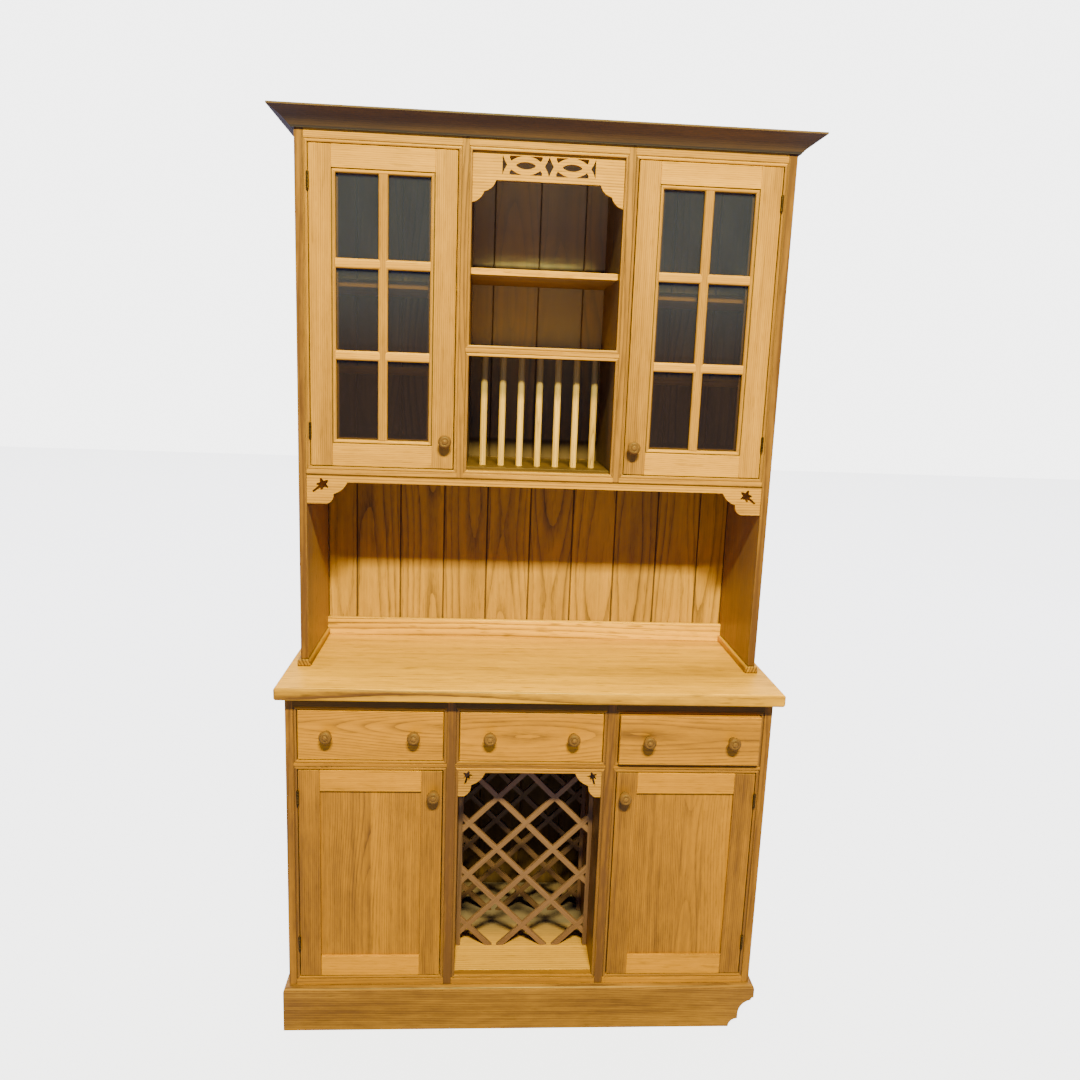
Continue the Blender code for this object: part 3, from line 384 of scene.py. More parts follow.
class Piece:
    """One finished piece: lengths of wood gathered into one mesh, in the place of a node."""

    def __init__(self, node, finish, name=None):
        self.node = node
        self.name = name or f"{node}_finished"
        self.finish = finish
        self.points, self.faces, self.grain, self.look, self.corners = [], [], [], [], []
        self.count = 0

    def add(self, points, faces, corner, grain, look):
        """Take points (n, 3), faces as index lists, and each corner's point, grain and look."""
        self.points.append(points)
        self.corners.append(points[corner])
        self.faces += [[int(i) + self.count for i in face] for face in faces]
        self.grain.append(grain)
        self.look.append(look)
        self.count += len(points)

    def paint_shade_and_dirt(self, test, dirt_and_shade=0.0, tone=0.0):
        """Darken or tone the last length's corners where the test holds: painted shade and light, and
        dirt.
        """
        held = test(self.corners[-1]).astype(float)
        self.look[-1] = self.look[-1] + held[:, None] * (0.0, tone, dirt_and_shade)

    def grid(self, points, local, stave, offsets, tones, caps, rubbed=0.0, grime=0.0):
        """Join a stack of k rings of m points with quads, and close the ends with caps.

        The grain of a corner is its local place plus the offset of the stave that its face is in.
        """
        rings, count = points.shape[:2]
        steps = np.arange(count)
        after = (steps + 1) % count
        row = np.arange(rings - 1)[:, None] * count
        quads = np.stack([row + steps, row + after, row + count + after, row + count + steps], -1)
        faces = [list(face) for face in quads.reshape(-1, 4)]
        staves = list(np.tile(stave, rings - 1))
        for ring, members, number in caps:
            faces.append([ring * count + i for i in members])
            staves.append(number)
        rub, dirt_and_shade = (np.tile(np.broadcast_to(value, count), rings) for value in (rubbed, grime))
        corner, owner = by_corner(faces, staves)
        grain = local.reshape(-1, 3)[corner] + offsets[owner]
        look = np.column_stack([rub[corner], tones[owner], dirt_and_shade[corner]])
        self.add(points.reshape(-1, 3), faces, corner, grain, look)

    def bar(self, section, start, end, side, up, cut=(0.0, 0.0), ease=0.0, figure=STRAIGHT,
            tone=None, grime=0.0, splits=(), rubbed=0.0, stops=()):
        """A length of wood from start to end.

        A section point (a, b) lies at a along side and b along up.  cut moves each end along the
        run by its factor times a, so 1 and -1 are mitres.  ease draws the section in at both ends.
        stops are more places along the run, for looks that change there.
        """
        section, start, end, side, up = (
            np.asarray(part, float) for part in (section, start, end, side, up))
        length = np.linalg.norm(end - start)
        run = (end - start) / length
        low, high = section.min(0), section.max(0)
        stations = [0.0, *stops, length]
        shapes = [section] * len(stations)
        if ease:
            stations = [0.0, ease, length - ease, length]
            drawn = np.clip(section, low + ease, high - ease)
            shapes = [drawn, section, section, drawn]
        slants = [cut[0], *[0.0] * (len(stations) - 2), cut[1]]
        points, local = [], []
        for station, shape, slant in zip(stations, shapes, slants):
            place = station + slant * shape[:, 0]
            points.append(start + place[:, None] * run + shape[:, :1] * side + shape[:, 1:] * up)
            local.append(np.column_stack([place, shape]))
        borders = np.array([low[0] - 1, *sorted(splits), high[0] + 1])
        middle = (section[:, 0] + np.roll(section[:, 0], -1)) / 2
        stave = np.searchsorted(borders, middle) - 1
        caps = []
        for ring in (0, len(stations) - 1):
            for number, (near, far) in enumerate(zip(borders[:-1], borders[1:])):
                inside = (section[:, 0] >= near - TOUCH) & (section[:, 0] <= far + TOUCH)
                caps.append((ring, np.flatnonzero(inside), number))
        offsets, tones = self.log(len(borders) - 1, high - low, figure, tone)
        # painted light: the tone follows the board's direction
        tones = tones + ACROSS * abs(run[0]) - UPRIGHT * abs(run[2])
        self.grid(np.array(points), np.array(local), stave, offsets, tones, caps, rubbed, grime)

    def log(self, count, size, figure, tone):
        """Where each stave lies in its log, as (along, across, from the pith), and its tone."""
        offsets = np.zeros((count, 3))
        offsets[:, 0] = bench.uniform(0, 40, count)
        sign = np.where(bench.random(count) < 0.5, -1, 1)
        if figure == FLAT:
            offsets[:, 1] = bench.uniform(-0.25, 0.25, count) * size[0] / count
            offsets[:, 2] = sign * bench.uniform(*NEAR_PITH, count)
        else:
            offsets[:, 1] = sign * (size[0] / 2 + bench.uniform(*BESIDE_PITH, count))
            offsets[:, 2] = bench.uniform(0.02, 0.09, count)
        tones = bench.uniform(-TONE_SPREAD, TONE_SPREAD, count)
        if tone is not None:
            tones = tones * 0.5 + tone
        return offsets, tones

    def board(self, low, high, along, ease=0.0012, radii=None, staves=1, end=None, steps=3, **looks):
        """A planed board between two corners, with its grain along one axis."""
        low, high = np.minimum(low, high), np.maximum(low, high)
        axis = "xyz".index(along)
        wide, thin = sorted((a for a in range(3) if a != axis), key=lambda a: low[a] - high[a])
        size = high - low
        splits = size[wide] * (np.arange(1, staves) / staves - 0.5)
        section, rubbed = rounded(size[wide], size[thin], radii or (ease,) * 4, steps, splits)
        unit = np.eye(3)
        start, stop = (np.where(unit[axis], edge, (low + high) / 2) for edge in (low, high))
        self.bar(section, start, stop, unit[wide], unit[thin], ease=ease if end is None else end,
                 splits=splits, rubbed=rubbed, **looks)

    def ring(self, rectangle, face, section, **looks):
        """A moulding mitred round an opening: section points are (outwards, into the wood)."""
        left, right, bottom, top = rectangle
        corners = [(left, face, bottom), (right, face, bottom), (right, face, top), (left, face, top)]
        outward = [(0, 0, -1), (1, 0, 0), (0, 0, 1), (-1, 0, 0)]
        for start, end, side in zip(corners, corners[1:] + corners[:1], outward):
            self.bar(section, start, end, side, (0, 1, 0), cut=(-1.0, 1.0), **looks)

    def turned(self, profile, base, axis, steps=32, tone=0.0, pith=(0.002, 0.001)):
        """A shape of revolution: profile is (radius, height) carried round an axis from base."""
        profile = np.asarray(profile, float)
        axis = Vector(axis).normalized()
        side = np.array(axis.orthogonal().normalized())
        other = np.array(axis.cross(Vector(side)))
        angles = np.linspace(0, 2 * np.pi, steps, endpoint=False)
        circle = np.cos(angles)[:, None] * side + np.sin(angles)[:, None] * other
        radius, height = profile[:, 0], profile[:, 1]
        points = (np.asarray(base, float) + height[:, None, None] * np.array(axis)
                  + radius[:, None, None] * circle[None])
        local = np.empty(points.shape)
        local[..., 0] = height[:, None]
        local[..., 1] = radius[:, None] * np.cos(angles)
        local[..., 2] = radius[:, None] * np.sin(angles)
        offsets = np.array([[bench.uniform(0, 40), pith[0], pith[1]]])
        caps = [(0, range(steps), 0), (len(profile) - 1, range(steps), 0)]
        self.grid(points, local, np.zeros(steps, int), offsets, np.array([tone]), caps)

    def copied(self, node, runs, keep=None, tone=0.0, figure=STRAIGHT):
        """The faces of a solid, with grain by place: runs is a list of (test, axis), and a face
        takes the first axis whose test holds for its middle."""
        source = frame["nodes"][node].data
        shape = bmesh.new()
        shape.from_mesh(source)
        bmesh.ops.remove_doubles(shape, verts=shape.verts, dist=0.00001)
        shape.verts.index_update()
        points = np.array([v.co for v in shape.verts])
        faces = [[v.index for v in face.verts] for face in shape.faces]
        middles = np.array([face.calc_center_median() for face in shape.faces])
        shape.free()
        if keep is not None:
            kept = keep(middles)
            faces = [face for face, held in zip(faces, kept) if held]
            middles = middles[kept]
        orders = {"x": (0, 2, 1), "y": (1, 2, 0), "z": (2, 0, 1)}
        offsets, tones = self.log(len(runs), np.array([0.1, 0.01]), figure, tone)
        chosen = np.argmax([test(middles) for test, _ in runs], axis=0)
        corner, owner = by_corner(faces, chosen)
        grain = np.empty((len(corner), 3))
        for number, (_, axis) in enumerate(runs):
            mine = owner == number
            grain[mine] = points[corner[mine]][:, orders[axis]] + offsets[number]
        look = np.column_stack([np.zeros(len(corner)), tones[owner], np.zeros(len(corner))])
        self.add(points, faces, corner, grain, look)

    def made(self, body="carcass"):
        """Turn what was gathered into an object that rides a body and stands for its node."""
        mesh = bpy.data.meshes.new(self.name)
        mesh.from_pydata(np.concatenate(self.points), [], self.faces)
        for key, values in (("grain", self.grain), ("look", self.look)):
            layer = mesh.attributes.new(key, "FLOAT_VECTOR", "CORNER")
            layer.data.foreach_set("vector", np.concatenate(values).astype(np.float32).ravel())
        shape = bmesh.new()
        shape.from_mesh(mesh)
        loose = [v for v in shape.verts if not v.link_faces]
        bmesh.ops.delete(shape, geom=loose, context="VERTS")
        bmesh.ops.recalc_face_normals(shape, faces=shape.faces)
        shape.to_mesh(mesh)
        shape.free()
        mesh.shade_smooth()
        mesh.set_sharp_from_angle(angle=SMOOTH_ANGLE)
        piece = linked(self.name, mesh)
        mesh.materials.append(self.finish)
        flat = piece.modifiers.new("flat_faces", "WEIGHTED_NORMAL")
        flat.keep_sharp = True
        flat.weight = 80
        if self.node:
            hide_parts(self.node)
        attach(piece, body)


def everywhere(points):
    return np.ones(len(points), bool)


def in_box(low, high):
    """A test for the points that lie in a box."""
    return lambda points: ((points > low) & (points < high)).all(axis=1)


# %% [markdown]
# ## The openings
#
# The face frames, the doors and the drawers all share the same openings, so these are measured
# once from the solids: a door's box, grown by the gap round it, is its opening.

# %% Openings of the base and the hutch
DOOR_GAP = 0.002
DRAWER_GAP = 0.0015
SEAT = 0.0003


def opening(node, gap):
    left, right, _, _, bottom, top = span(node)
    return left - gap, right + gap, bottom - gap, top + gap


base_doors = {s: opening(f"door_base_{s}_frame", DOOR_GAP) for s in ("left", "right")}
glazed_doors = {s: opening(f"door_glazed_{s}_frame", DOOR_GAP) for s in ("left", "right")}
drawers = {w: opening(f"drawer_{w}_front", DRAWER_GAP) for w in ("left", "centre", "right")}
niche_half = span("wine_rack_front")[1] + SEAT
niche = (-niche_half, niche_half, base_doors["left"][2], base_doors["left"][3])
bay_half = span("plate_rack")[1] + SEAT
bay_rail_top = span("plate_rack")[5]
BAY_RAIL = 0.0247
BAY_HEAD_RISE = 0.001
rack_opening = (-bay_half, bay_half, glazed_doors["left"][2], bay_rail_top - BAY_RAIL)
bay_opening = (-bay_half, bay_half, bay_rail_top, glazed_doors["left"][3] + BAY_HEAD_RISE)
print("niche", [round(v, 4) for v in niche], "bay", [round(v, 4) for v in bay_opening])

# %% [markdown]
# ## Face frames
#
# A face frame is stiles and rails, tenoned together, with a bead run along every opening.  The
# bead meets at the corners in mitres.  Here each opening gets a mitred ring that carries the bead
# and the quirk beside it, and plain flats fill the stiles and rails between the rings.

# %% The beaded section and a frame of it
BEAD = 0.0060
BAND = 0.0079               # bead and quirk together
QUIRK = 0.0006
CLEAR = 0.0002              # keeps the opening's own faces out of the fret


def bead_section(thickness):
    """A half-round bead from the opening's edge, then a narrow quirk: (outwards, into the wood)."""
    bead = arc((BEAD / 2, 0.0014), (BEAD / 2, 0.0011), 180, 360, 9)
    points = np.vstack([[0.0, thickness], bead, [BEAD, QUIRK + 0.0012], [BAND, QUIRK + 0.0012],
                        [BAND, thickness]])
    # dirt and painted shade along the opening's edge and in the quirk
    grime = np.array([0.5, 0.1] + [0.0] * 7 + [0.1, 0.30, 0.30, 0.0])
    rubbed = np.array([0, 0.1, 0.3, 0.5, 0.7, 0.8, 0.7, 0.5, 0.3, 0.1, 0, 0, 0])
    return points, grime, rubbed


def beaded_frame(piece, limits, openings, flats, tone):
    """Rings round the openings, and flats given as (left, right, bottom, top, grain axis, darkening).
    """
    face, rear = limits
    section, grime, rubbed = bead_section(rear - face)
    for rectangle in openings:
        piece.ring(rectangle, face, section, grime=grime, rubbed=rubbed, tone=tone)
    for left, right, bottom, top, along, dirt_and_shade in flats:
        piece.board((left, face, bottom), (right, rear, top), along, ease=0.0007, tone=tone)
        piece.paint_shade_and_dirt(everywhere, dirt_and_shade)


left, right, face, _, low, high = span("base_face_frame")
base_face = face
base_thickness = span("base_divider_left")[2] - SEAT - face
base_openings = [base_doors["left"], niche, base_doors["right"],
                 drawers["left"], drawers["centre"], drawers["right"]]
door_low, door_high = niche[2], niche[3]
drawer_low, drawer_high = drawers["centre"][2], drawers["centre"][3]
piece = Piece("base_face_frame", oak_base)
flats = []
for sign, word in ((-1, "left"), (1, "right")):
    inner, outer = sorted(base_doors[word][:2], key=abs)
    flats += [(sign * (niche_half + BAND), inner - sign * BAND, low, high, "z", 0.0),
              (outer + sign * BAND, sign * right, low, high, "z", 0.0)]
muntin = base_doors["right"][0] - BAND
for x0, x1 in ((left, -muntin), (-niche_half - BAND, niche_half + BAND), (muntin, right)):
    flats += [(x0, x1, low, door_low - BAND, "x", 0.0),
              (x0, x1, door_high + BAND, drawer_low - BAND, "x", 0.0),
              # painted shade: the rail under the worktop's overhang is darkened
              (x0, x1, drawer_high + BAND, high, "x", 1.1)]
beaded_frame(piece, (face, face + base_thickness), base_openings, flats, -0.55)
piece.made()
piece = Piece(None, oak_fret, "niche_fret")
piece.copied("base_face_frame", [(everywhere, "x")], tone=-0.1, figure=FLAT,
             keep=in_box((CLEAR - niche_half, face + 0.0025, door_high - 0.07),
                         (niche_half - CLEAR, face + 0.0125, door_high - CLEAR)))
piece.made()

left, right, face, rear, low, high = span("hutch_face_frame")
hutch_face = face
hutch_openings = [glazed_doors["left"], rack_opening, bay_opening, glazed_doors["right"]]
piece = Piece("hutch_face_frame", oak_hutch)
muntin = glazed_doors["right"][0] - BAND
outer, bay_edge = glazed_doors["right"][1] + BAND, bay_half + BAND
# the outer stiles are a little darker
flats = [(x0, x1, low, high, "z", dirt_and_shade) for x0, x1, dirt_and_shade in (
    (left, -outer, 0.2), (outer, right, 0.2), (-muntin, -bay_edge, 0.0), (bay_edge, muntin, 0.0))]
beside_doors = ((low, glazed_doors["left"][2] - BAND), (glazed_doors["left"][3] + BAND, high))
round_the_bay = ((low, rack_opening[2] - BAND), (rack_opening[3] + BAND, bay_opening[2] - BAND),
                 (bay_opening[3] + BAND, high))
for x0, x1, levels in ((-outer, -muntin, beside_doors), (muntin, outer, beside_doors),
                       (-bay_edge, bay_edge, round_the_bay)):
    flats += [(x0, x1, bottom, top, "x", 0.0) for bottom, top in levels]
beaded_frame(piece, (face, rear), hutch_openings, flats, -0.35)
piece.made()
print("face frames:", len(base_openings) + len(hutch_openings), "openings")

# %% [markdown]
# ## Sides, dividers, floors and shelves
#
# Wide panels are glued from staves, and a glued panel shows each stave's own grain and a slight
# step in colour.  One board with splits in its section does that without any gap between staves.

# %% Panels and shelves
RUNNER = 0.020
RUNNER_STOP = 0.0113        # from the rear edge of a side, in front of the back boards


def panel(node, finish, along, staves=1, figure=STRAIGHT, limits=None, rails=(), painted_shade_and_dirt=(),
          body="carcass", slot="oak", **more):
    """A wide board that fills its solid's box, or the limits given, with rails fixed to it."""
    x0, x1, y0, y1, z0, z1 = limits or span(node)
    piece = Piece(node, finish)
    piece.board((x0, y0, z0), (x1, y1, z1), along, staves=staves, figure=figure, **more)
    for paint_shade_and_dirt in painted_shade_and_dirt:
        piece.paint_shade_and_dirt(*paint_shade_and_dirt)
    for x0, x1, y0, y1, z0, z1 in rails:
        piece.board((x0, y0, z0), (x1, y1, z1), "y", ease=0.0008)
    piece.made(body)


def within(reach):
    """A test for the corners near the middle plane."""
    return lambda corners: np.abs(corners[:, 0]) < reach


def front_of(node, depth):
    """A test for the corners of a solid's front edge."""
    limit = span(node)[2] + depth
    return lambda corners: corners[:, 1] < limit


def behind(limit):
    return lambda corners: corners[:, 1] > limit


side_panel = 0.018
runner_top = drawer_low + 0.004
runner = (runner_top - RUNNER, runner_top)
for word, sign in (("left", -1), ("right", 1)):
    node = f"base_side_{word}"
    x0, x1, y0, y1, z0, z1 = span(node)
    outer = sign * max(abs(x0), abs(x1))
    inner = outer - sign * side_panel
    reach = sign * min(abs(x0), abs(x1))
    panel(node, oak_base, "z", 3, FLAT, (outer, inner, y0, y1, z0, z1),
          [(inner, reach, base_face + base_thickness + SEAT, y1 - RUNNER_STOP, *runner)], ease=0.0015)
    node = f"base_divider_{word}"
    x0, x1, y0, y1, z0, z1 = span(node)
    near, far = sign * min(abs(x0), abs(x1)), sign * max(abs(x0), abs(x1))
    flush = sign * niche_half
    outside = flush + sign * side_panel
    # painted shade on each divider's face inside the niche
    panel(node, oak_base, "z", 3, STRAIGHT, (flush, outside, y0, y1, z0, z1),
          [(near, flush, y0, y1, *runner), (outside, far, y0, y1, *runner)],
          [(within(niche_half + 0.001), 0.3)])
    # painted shade on the inner faces of the hutch's sides and dividers; their front edges are toned
    # darker
    for node, finish, share, margin in ((f"hutch_side_{word}", oak_side, 0.3, 0.0004),
                                        (f"hutch_divider_{word}", oak_inside, 0.8, 0.1)):
        inner = min(abs(x) for x in span(node)[:2])
        panel(node, finish, "z", 2, FLAT, ease=0.0015,
              painted_shade_and_dirt=[(within(inner + margin), share), (front_of(node, 0.001), 0.0, -0.7)])
    for level in ("upper", "lower"):
        panel(f"shelf_{word}_{level}", oak_hutch, "x", 2)
# painted shade on the floor behind the wine rack
panel("base_floor", oak_floor, "x", 4, tone=0.3,
      painted_shade_and_dirt=[(behind(span("wine_rack_rear")[2] - 0.1), 1.2)])
# painted shade over the whole floor of the hutch
panel("hutch_floor", oak_dark_back, "x", 3, painted_shade_and_dirt=[(everywhere, 1.1)])
# painted shade on the shelf behind its front edge, and a painted highlight on the front edge
panel("shelf_bay", oak_inside, "x", 2, painted_shade_and_dirt=[
    (behind(span("shelf_bay")[2] + 0.001), 0.9), (front_of("shelf_bay", 0.001), 0.0, 0.9)])
# painted shade on the worktop's front edge
panel("worktop", oak_worktop, "x", 4, radii=(0.005, 0.0015, 0.0015, 0.007), end=0.004, steps=6,
      painted_shade_and_dirt=[(front_of("worktop", 0.003), 0.0, -1.1)])
print("panels done")

# %% [markdown]
# ## Back boards
#
# The backs are upright boards with a V along each joint.  They are cut close to the pith of the
# log, so they show the tall arches that the photograph has.

# %% V-jointed backs
PITCH = 0.117
VEE = 0.0030
TONGUE = 0.0002             # how far a board reaches into the next one's groove
ARRIS = 0.0010              # planed off the back of each board
STEP = 0.004                # height over which one room's painted shade gives way to the next one's
JOINT_SHADE = 2.4           # how much darker the wood is down in a joint


def vee_back(node, finish, half_joints, tone, rooms=()):
    """One board per pitch, its two front arrises planed off to make the V.

    rooms lists (bottom, painted shade in the middle, painted shade at the sides, tone) from the
    lowest upwards.
    """
    left, right, front, rear, low, high = span(node)
    joints = PITCH * np.arange(-half_joints, half_joints + 1)
    joints = joints[np.abs(joints) < right - 0.02]
    edges = np.concatenate([[left], joints, [right]])
    heights = [low] + [room[0] + step for room in rooms for step in (-STEP, STEP)] + [high]
    middling, beside, shades = ([0.0, 0.0] + [room[k] for room in rooms for _ in range(2)]
                                for k in (1, 2, 3))
    piece = Piece(node, finish)
    for x0, x1 in zip(edges[:-1], edges[1:]):
        w, d = (x1 - x0) / 2, (rear - front) / 2
        a, b = w + TONGUE * (x0 > left), w + TONGUE * (x1 < right)
        section = [(-w + ARRIS, d), (-a, d - ARRIS), (-a, -d + VEE), (VEE - w, -d), (w - VEE, -d),
                   (b, -d + VEE), (b, d - ARRIS), (w - ARRIS, d)]
        middle = ((x0 + x1) / 2, (front + rear) / 2)
        piece.bar(section, (*middle, low), (*middle, high), (1, 0, 0), (0, 1, 0), figure=FLAT,
                  tone=tone + bench.uniform(-0.25, 0.25),
                  stops=[height - low for height in heights[1:-1]])
        look, grain = piece.look[-1], piece.grain[-1]
        level = low + grain[:, 0] - grain[:, 0].min()
        dirt_and_shade = np.interp(level, heights, middling if abs(middle[0]) < 2 * PITCH else beside)
        depth = piece.corners[-1][:, 1] - front
        in_the_room = depth < VEE / 2
        look[:, 2] = np.maximum(look[:, 2], dirt_and_shade * in_the_room)
        look[:, 1] += np.interp(level, heights, shades) * in_the_room
        look[:, 1] -= JOINT_SHADE * (~in_the_room & (depth < 2 * VEE))
    piece.made()


rack_floor = span("hutch_floor")[5]
shelf_top = span("shelf_bay")[5]
# painted shade on the back inside the rack and the bay: greyed and darkened, with dark strips along
# the rack floor and just above the shelf
vee_back("hutch_back", oak_back, 4, 0.45,
         [(rack_floor - 0.06, 0.0, 0.0, 0.0), (rack_floor, 0.05, 0.2, -2.4),
          (rack_floor + 0.05, 0.28, 0.2, -1.2), (bay_rail_top, 0.55, 0.3, -1.2),
          (shelf_top, 0.05, 0.2, -2.4), (shelf_top + 0.035, 0.70, 0.35, 0.0)])
# painted shade on the base back above the floor, inside the cupboards and the niche
vee_back("base_back", oak_dark_back, 4, 0.0,
         [(span("base_floor")[5] - 0.01, 0.9, 0.4, -0.5)])
print("backs done")

# %% [markdown]
# ## Plinth, cornice and the hutch's feet
#
# These are mouldings.  The cornice leans out at about 40 degrees with a slight hollow, and its
# front and returns meet in mitres, so each is its own length of wood with its own grain.

# %% Mouldings round the carcass
front_of_plinth = span("plinth")[2]
inside_plinth = front_of_plinth + 0.022
back_plane = span("hutch_back")[3]
piece = Piece("plinth", oak_hutch)
piece.copied("plinth", [(lambda m: m[:, 1] < inside_plinth + 0.0001, "x"),
                        (lambda m: m[:, 1] > back_plane - 0.0225, "x"), (everywhere, "y")],
             tone=-0.9)
piece.made()

_, right, _, rear, low, high = span("cornice")
half = span("hutch_side_right")[1]
project = right - half
board_low = span("hutch_side_right")[5] + SEAT
CORNICE_TOE = 0.006
CORNICE_FILLET = 0.004
HOLLOW = 0.003


def cornice_section():
    """A toe, a raked hollow and a top fillet, as (outwards, up from the foot)."""
    height = high - low
    foot = np.array([CORNICE_TOE, CORNICE_TOE / 10])
    rake = np.array([project, height - CORNICE_FILLET]) - foot
    inward = np.array([-rake[1], rake[0]]) / np.linalg.norm(rake)
    share = np.linspace(0, 1, 13)[:, None]
    hollow = foot + rake * share + inward * HOLLOW * 4 * share * (1 - share)
    soft = 0.0008
    return np.vstack([[SEAT, 0.0], [CORNICE_TOE, 0.0], hollow, [project, height - soft],
                      [project - soft, height], [SEAT, height]])


section = cornice_section()
# painted shade: the cornice faces down, so it is darkened all over, most at its toe
shade = np.full(len(section), 1.0)
shade[1] = shade[2] = 1.6
piece = Piece("cornice", oak_cornice)
front_left, front_right = (-half, hutch_face, low), (half, hutch_face, low)
for start, end, side, mitres in (
        (front_left, front_right, (0, -1, 0), (-1.0, 1.0)),
        ((-half, rear, low), front_left, (-1, 0, 0), (0.0, 1.0)),
        (front_right, (half, rear, low), (1, 0, 0), (-1.0, 0.0))):
    piece.bar(section, start, end, side, (0, 0, 1), cut=mitres, tone=-1.0, grime=shade)
piece.board((-half, hutch_face, board_low), (half, rear - 0.0002, board_low + 0.015), "x",
            ease=0.0005, staves=3)
piece.made()

_, right, front, rear, low, _ = span("hutch_foot_rail")
FOOT = 0.018
FOOT_SHOWS = 0.006          # inside the hutch's side
UPSTAND, UPSTAND_HEIGHT = 0.017, 0.048
foot_in = half - side_panel - FOOT_SHOWS
upstand_face = rear - UPSTAND
piece = Piece("hutch_foot_rail", oak_worktop)
for sign in (-1, 1):
    piece.board((sign * foot_in, front, low), (sign * right, rear, low + FOOT), "y",
                radii=(0.0008, 0.0008, 0.006, 0.006), end=0.003, steps=5)
    piece.paint_shade_and_dirt(lambda p: p[:, 1] < front + 0.004, 0.3, -0.8)
section, rubbed = rounded(UPSTAND, UPSTAND_HEIGHT, (0.0006, 0.0006, 0.003, 0.006), 5)
inner_face = half - side_panel - SEAT
middle = (upstand_face + UPSTAND / 2, low + UPSTAND_HEIGHT / 2)
piece.bar(section, (-inner_face, *middle), (inner_face, *middle), (0, -1, 0), (0, 0, 1),
          rubbed=rubbed, tone=0.1)
piece.made()
print("mouldings done")

# %% [markdown]
# ## Fretwork
#
# The frieze and the pelmets are sawn from thin boards.  Their solids already have the true sawn
# outline, so they are kept as they are, and only get grain along the board.

# %% Frieze, pelmet
for node in ("fret_frieze", "pelmet"):
    piece = Piece(node, oak_fret)
    piece.copied(node, [(everywhere, "x")], tone=0.3, figure=FLAT)
    piece.made()
print("fretwork done")

# %% [markdown]
# ## Plate rack
#
# A row of dowels runs from the shelf into blind holes in the cabinet's floor.  Plates stand on
# edge between them.

# %% Shelf and dowels
left, right, front, rear, low, high = span("plate_rack")
DOWEL = 0.008
DOWEL_PITCH = 0.0445
SHADOW_FROM = 1.556           # painted shadow: above this height the dowels are darkened, in the shade of the rail over them
DOWEL_ROW = 0.0776          # from the face of the hutch
DOWEL_HOLE = 0.012          # from the top of the shelf
dowel_y = hutch_face + DOWEL_ROW
piece = Piece("plate_rack", oak_dowel)
piece.board((left, front, high - side_panel), (right, rear, high), "x", staves=2)
for number in range(-3, 4):
    piece.turned([(0.0001, 0), (DOWEL - 0.001, 0), (DOWEL, 0.001), (DOWEL, SHADOW_FROM - low),
                  (DOWEL, SHADOW_FROM - low + 0.02), (DOWEL, high - low - DOWEL_HOLE)],
                 (number * DOWEL_PITCH, dowel_y, low), (0, 0, 1), 24, bench.uniform(-0.1, 0.3),
                 pith=(bench.uniform(-0.05, 0.05), 0.03))
    # painted shadow of the rail on the dowels' tops
    piece.paint_shade_and_dirt(lambda p: p[:, 2] > SHADOW_FROM + 0.01, 1.0)
piece.made()
print("plate rack done")

# %% [markdown]
# ## Wine rack
#
# Each lattice is two sets of slats at 45 degrees, halved over each other, with their ends cut to
# butt against an upright batten or the floor.  A slat's length is the line between the two edges
# of the frame that it meets.

# %% Slats cut to the frame
RACK_PITCH = 0.0722
SLAT = 0.013
BATTEN = 0.011
SHORTEST = 0.02             # slats shorter than this are left out
DIAGONAL = 0.70711          # the sine and the cosine of 45 degrees
STAGGER = 0.0003            # between the two slopes, so that no two faces share a plane
rack_centre = door_low + 0.0577


def slats(piece, inner, low, high, face, thick, rise, tone):
    """Slats of one slope, cut where they meet a batten or the floor.  rise is 1 or -1."""
    section, rubbed = rounded(SLAT, thick - 0.0004, (0.0008,) * 4, 2)
    reach = int((high - low + 2 * inner) / RACK_PITCH) + 2
    for number in range(-reach, reach):
        level = rack_centre + 2 * number * RACK_PITCH
        x0, x1 = (end * (inner - max(low - level - rise * end * inner,
                                     level + rise * end * inner - high, 0.0)) for end in (-1, 1))
        cuts = [rise if abs(x) == inner else -rise for x in (x0, x1)]
        if x1 - x0 < SHORTEST:
            continue
        depth = face + thick / 2 + (0.0 if rise > 0 else STAGGER)
        side = (-DIAGONAL * rise, 0, DIAGONAL)
        piece.bar(section, (x0, depth, level + rise * x0), (x1, depth, level + rise * x1), side,
                  (0, 1, 0), cut=cuts, rubbed=rubbed, tone=tone)


# the rear lattice is toned darker: painted shade behind the front lattice
for node, tone in (("wine_rack_front", 0.0), ("wine_rack_rear", -1.2)):
    _, right, front, rear, low, high = span(node)
    piece = Piece(node, oak_rack)
    inner = right - BATTEN
    for rise in (1, -1):
        slats(piece, inner, low, high, front + 0.001, rear - front - 0.002, rise, tone)
    for sign in (-1, 1):
        piece.board((sign * right, front, low), (sign * inner, rear, high), "z", ease=0.0008)
    piece.made()
print("wine racks done")

# %% [markdown]
# ## Knobs
#
# The knobs are turned from squares of oak with the grain along their axis, so their faces show
# rings of end grain round a dark middle.  The neck and a ring in the dish of the face are darker.

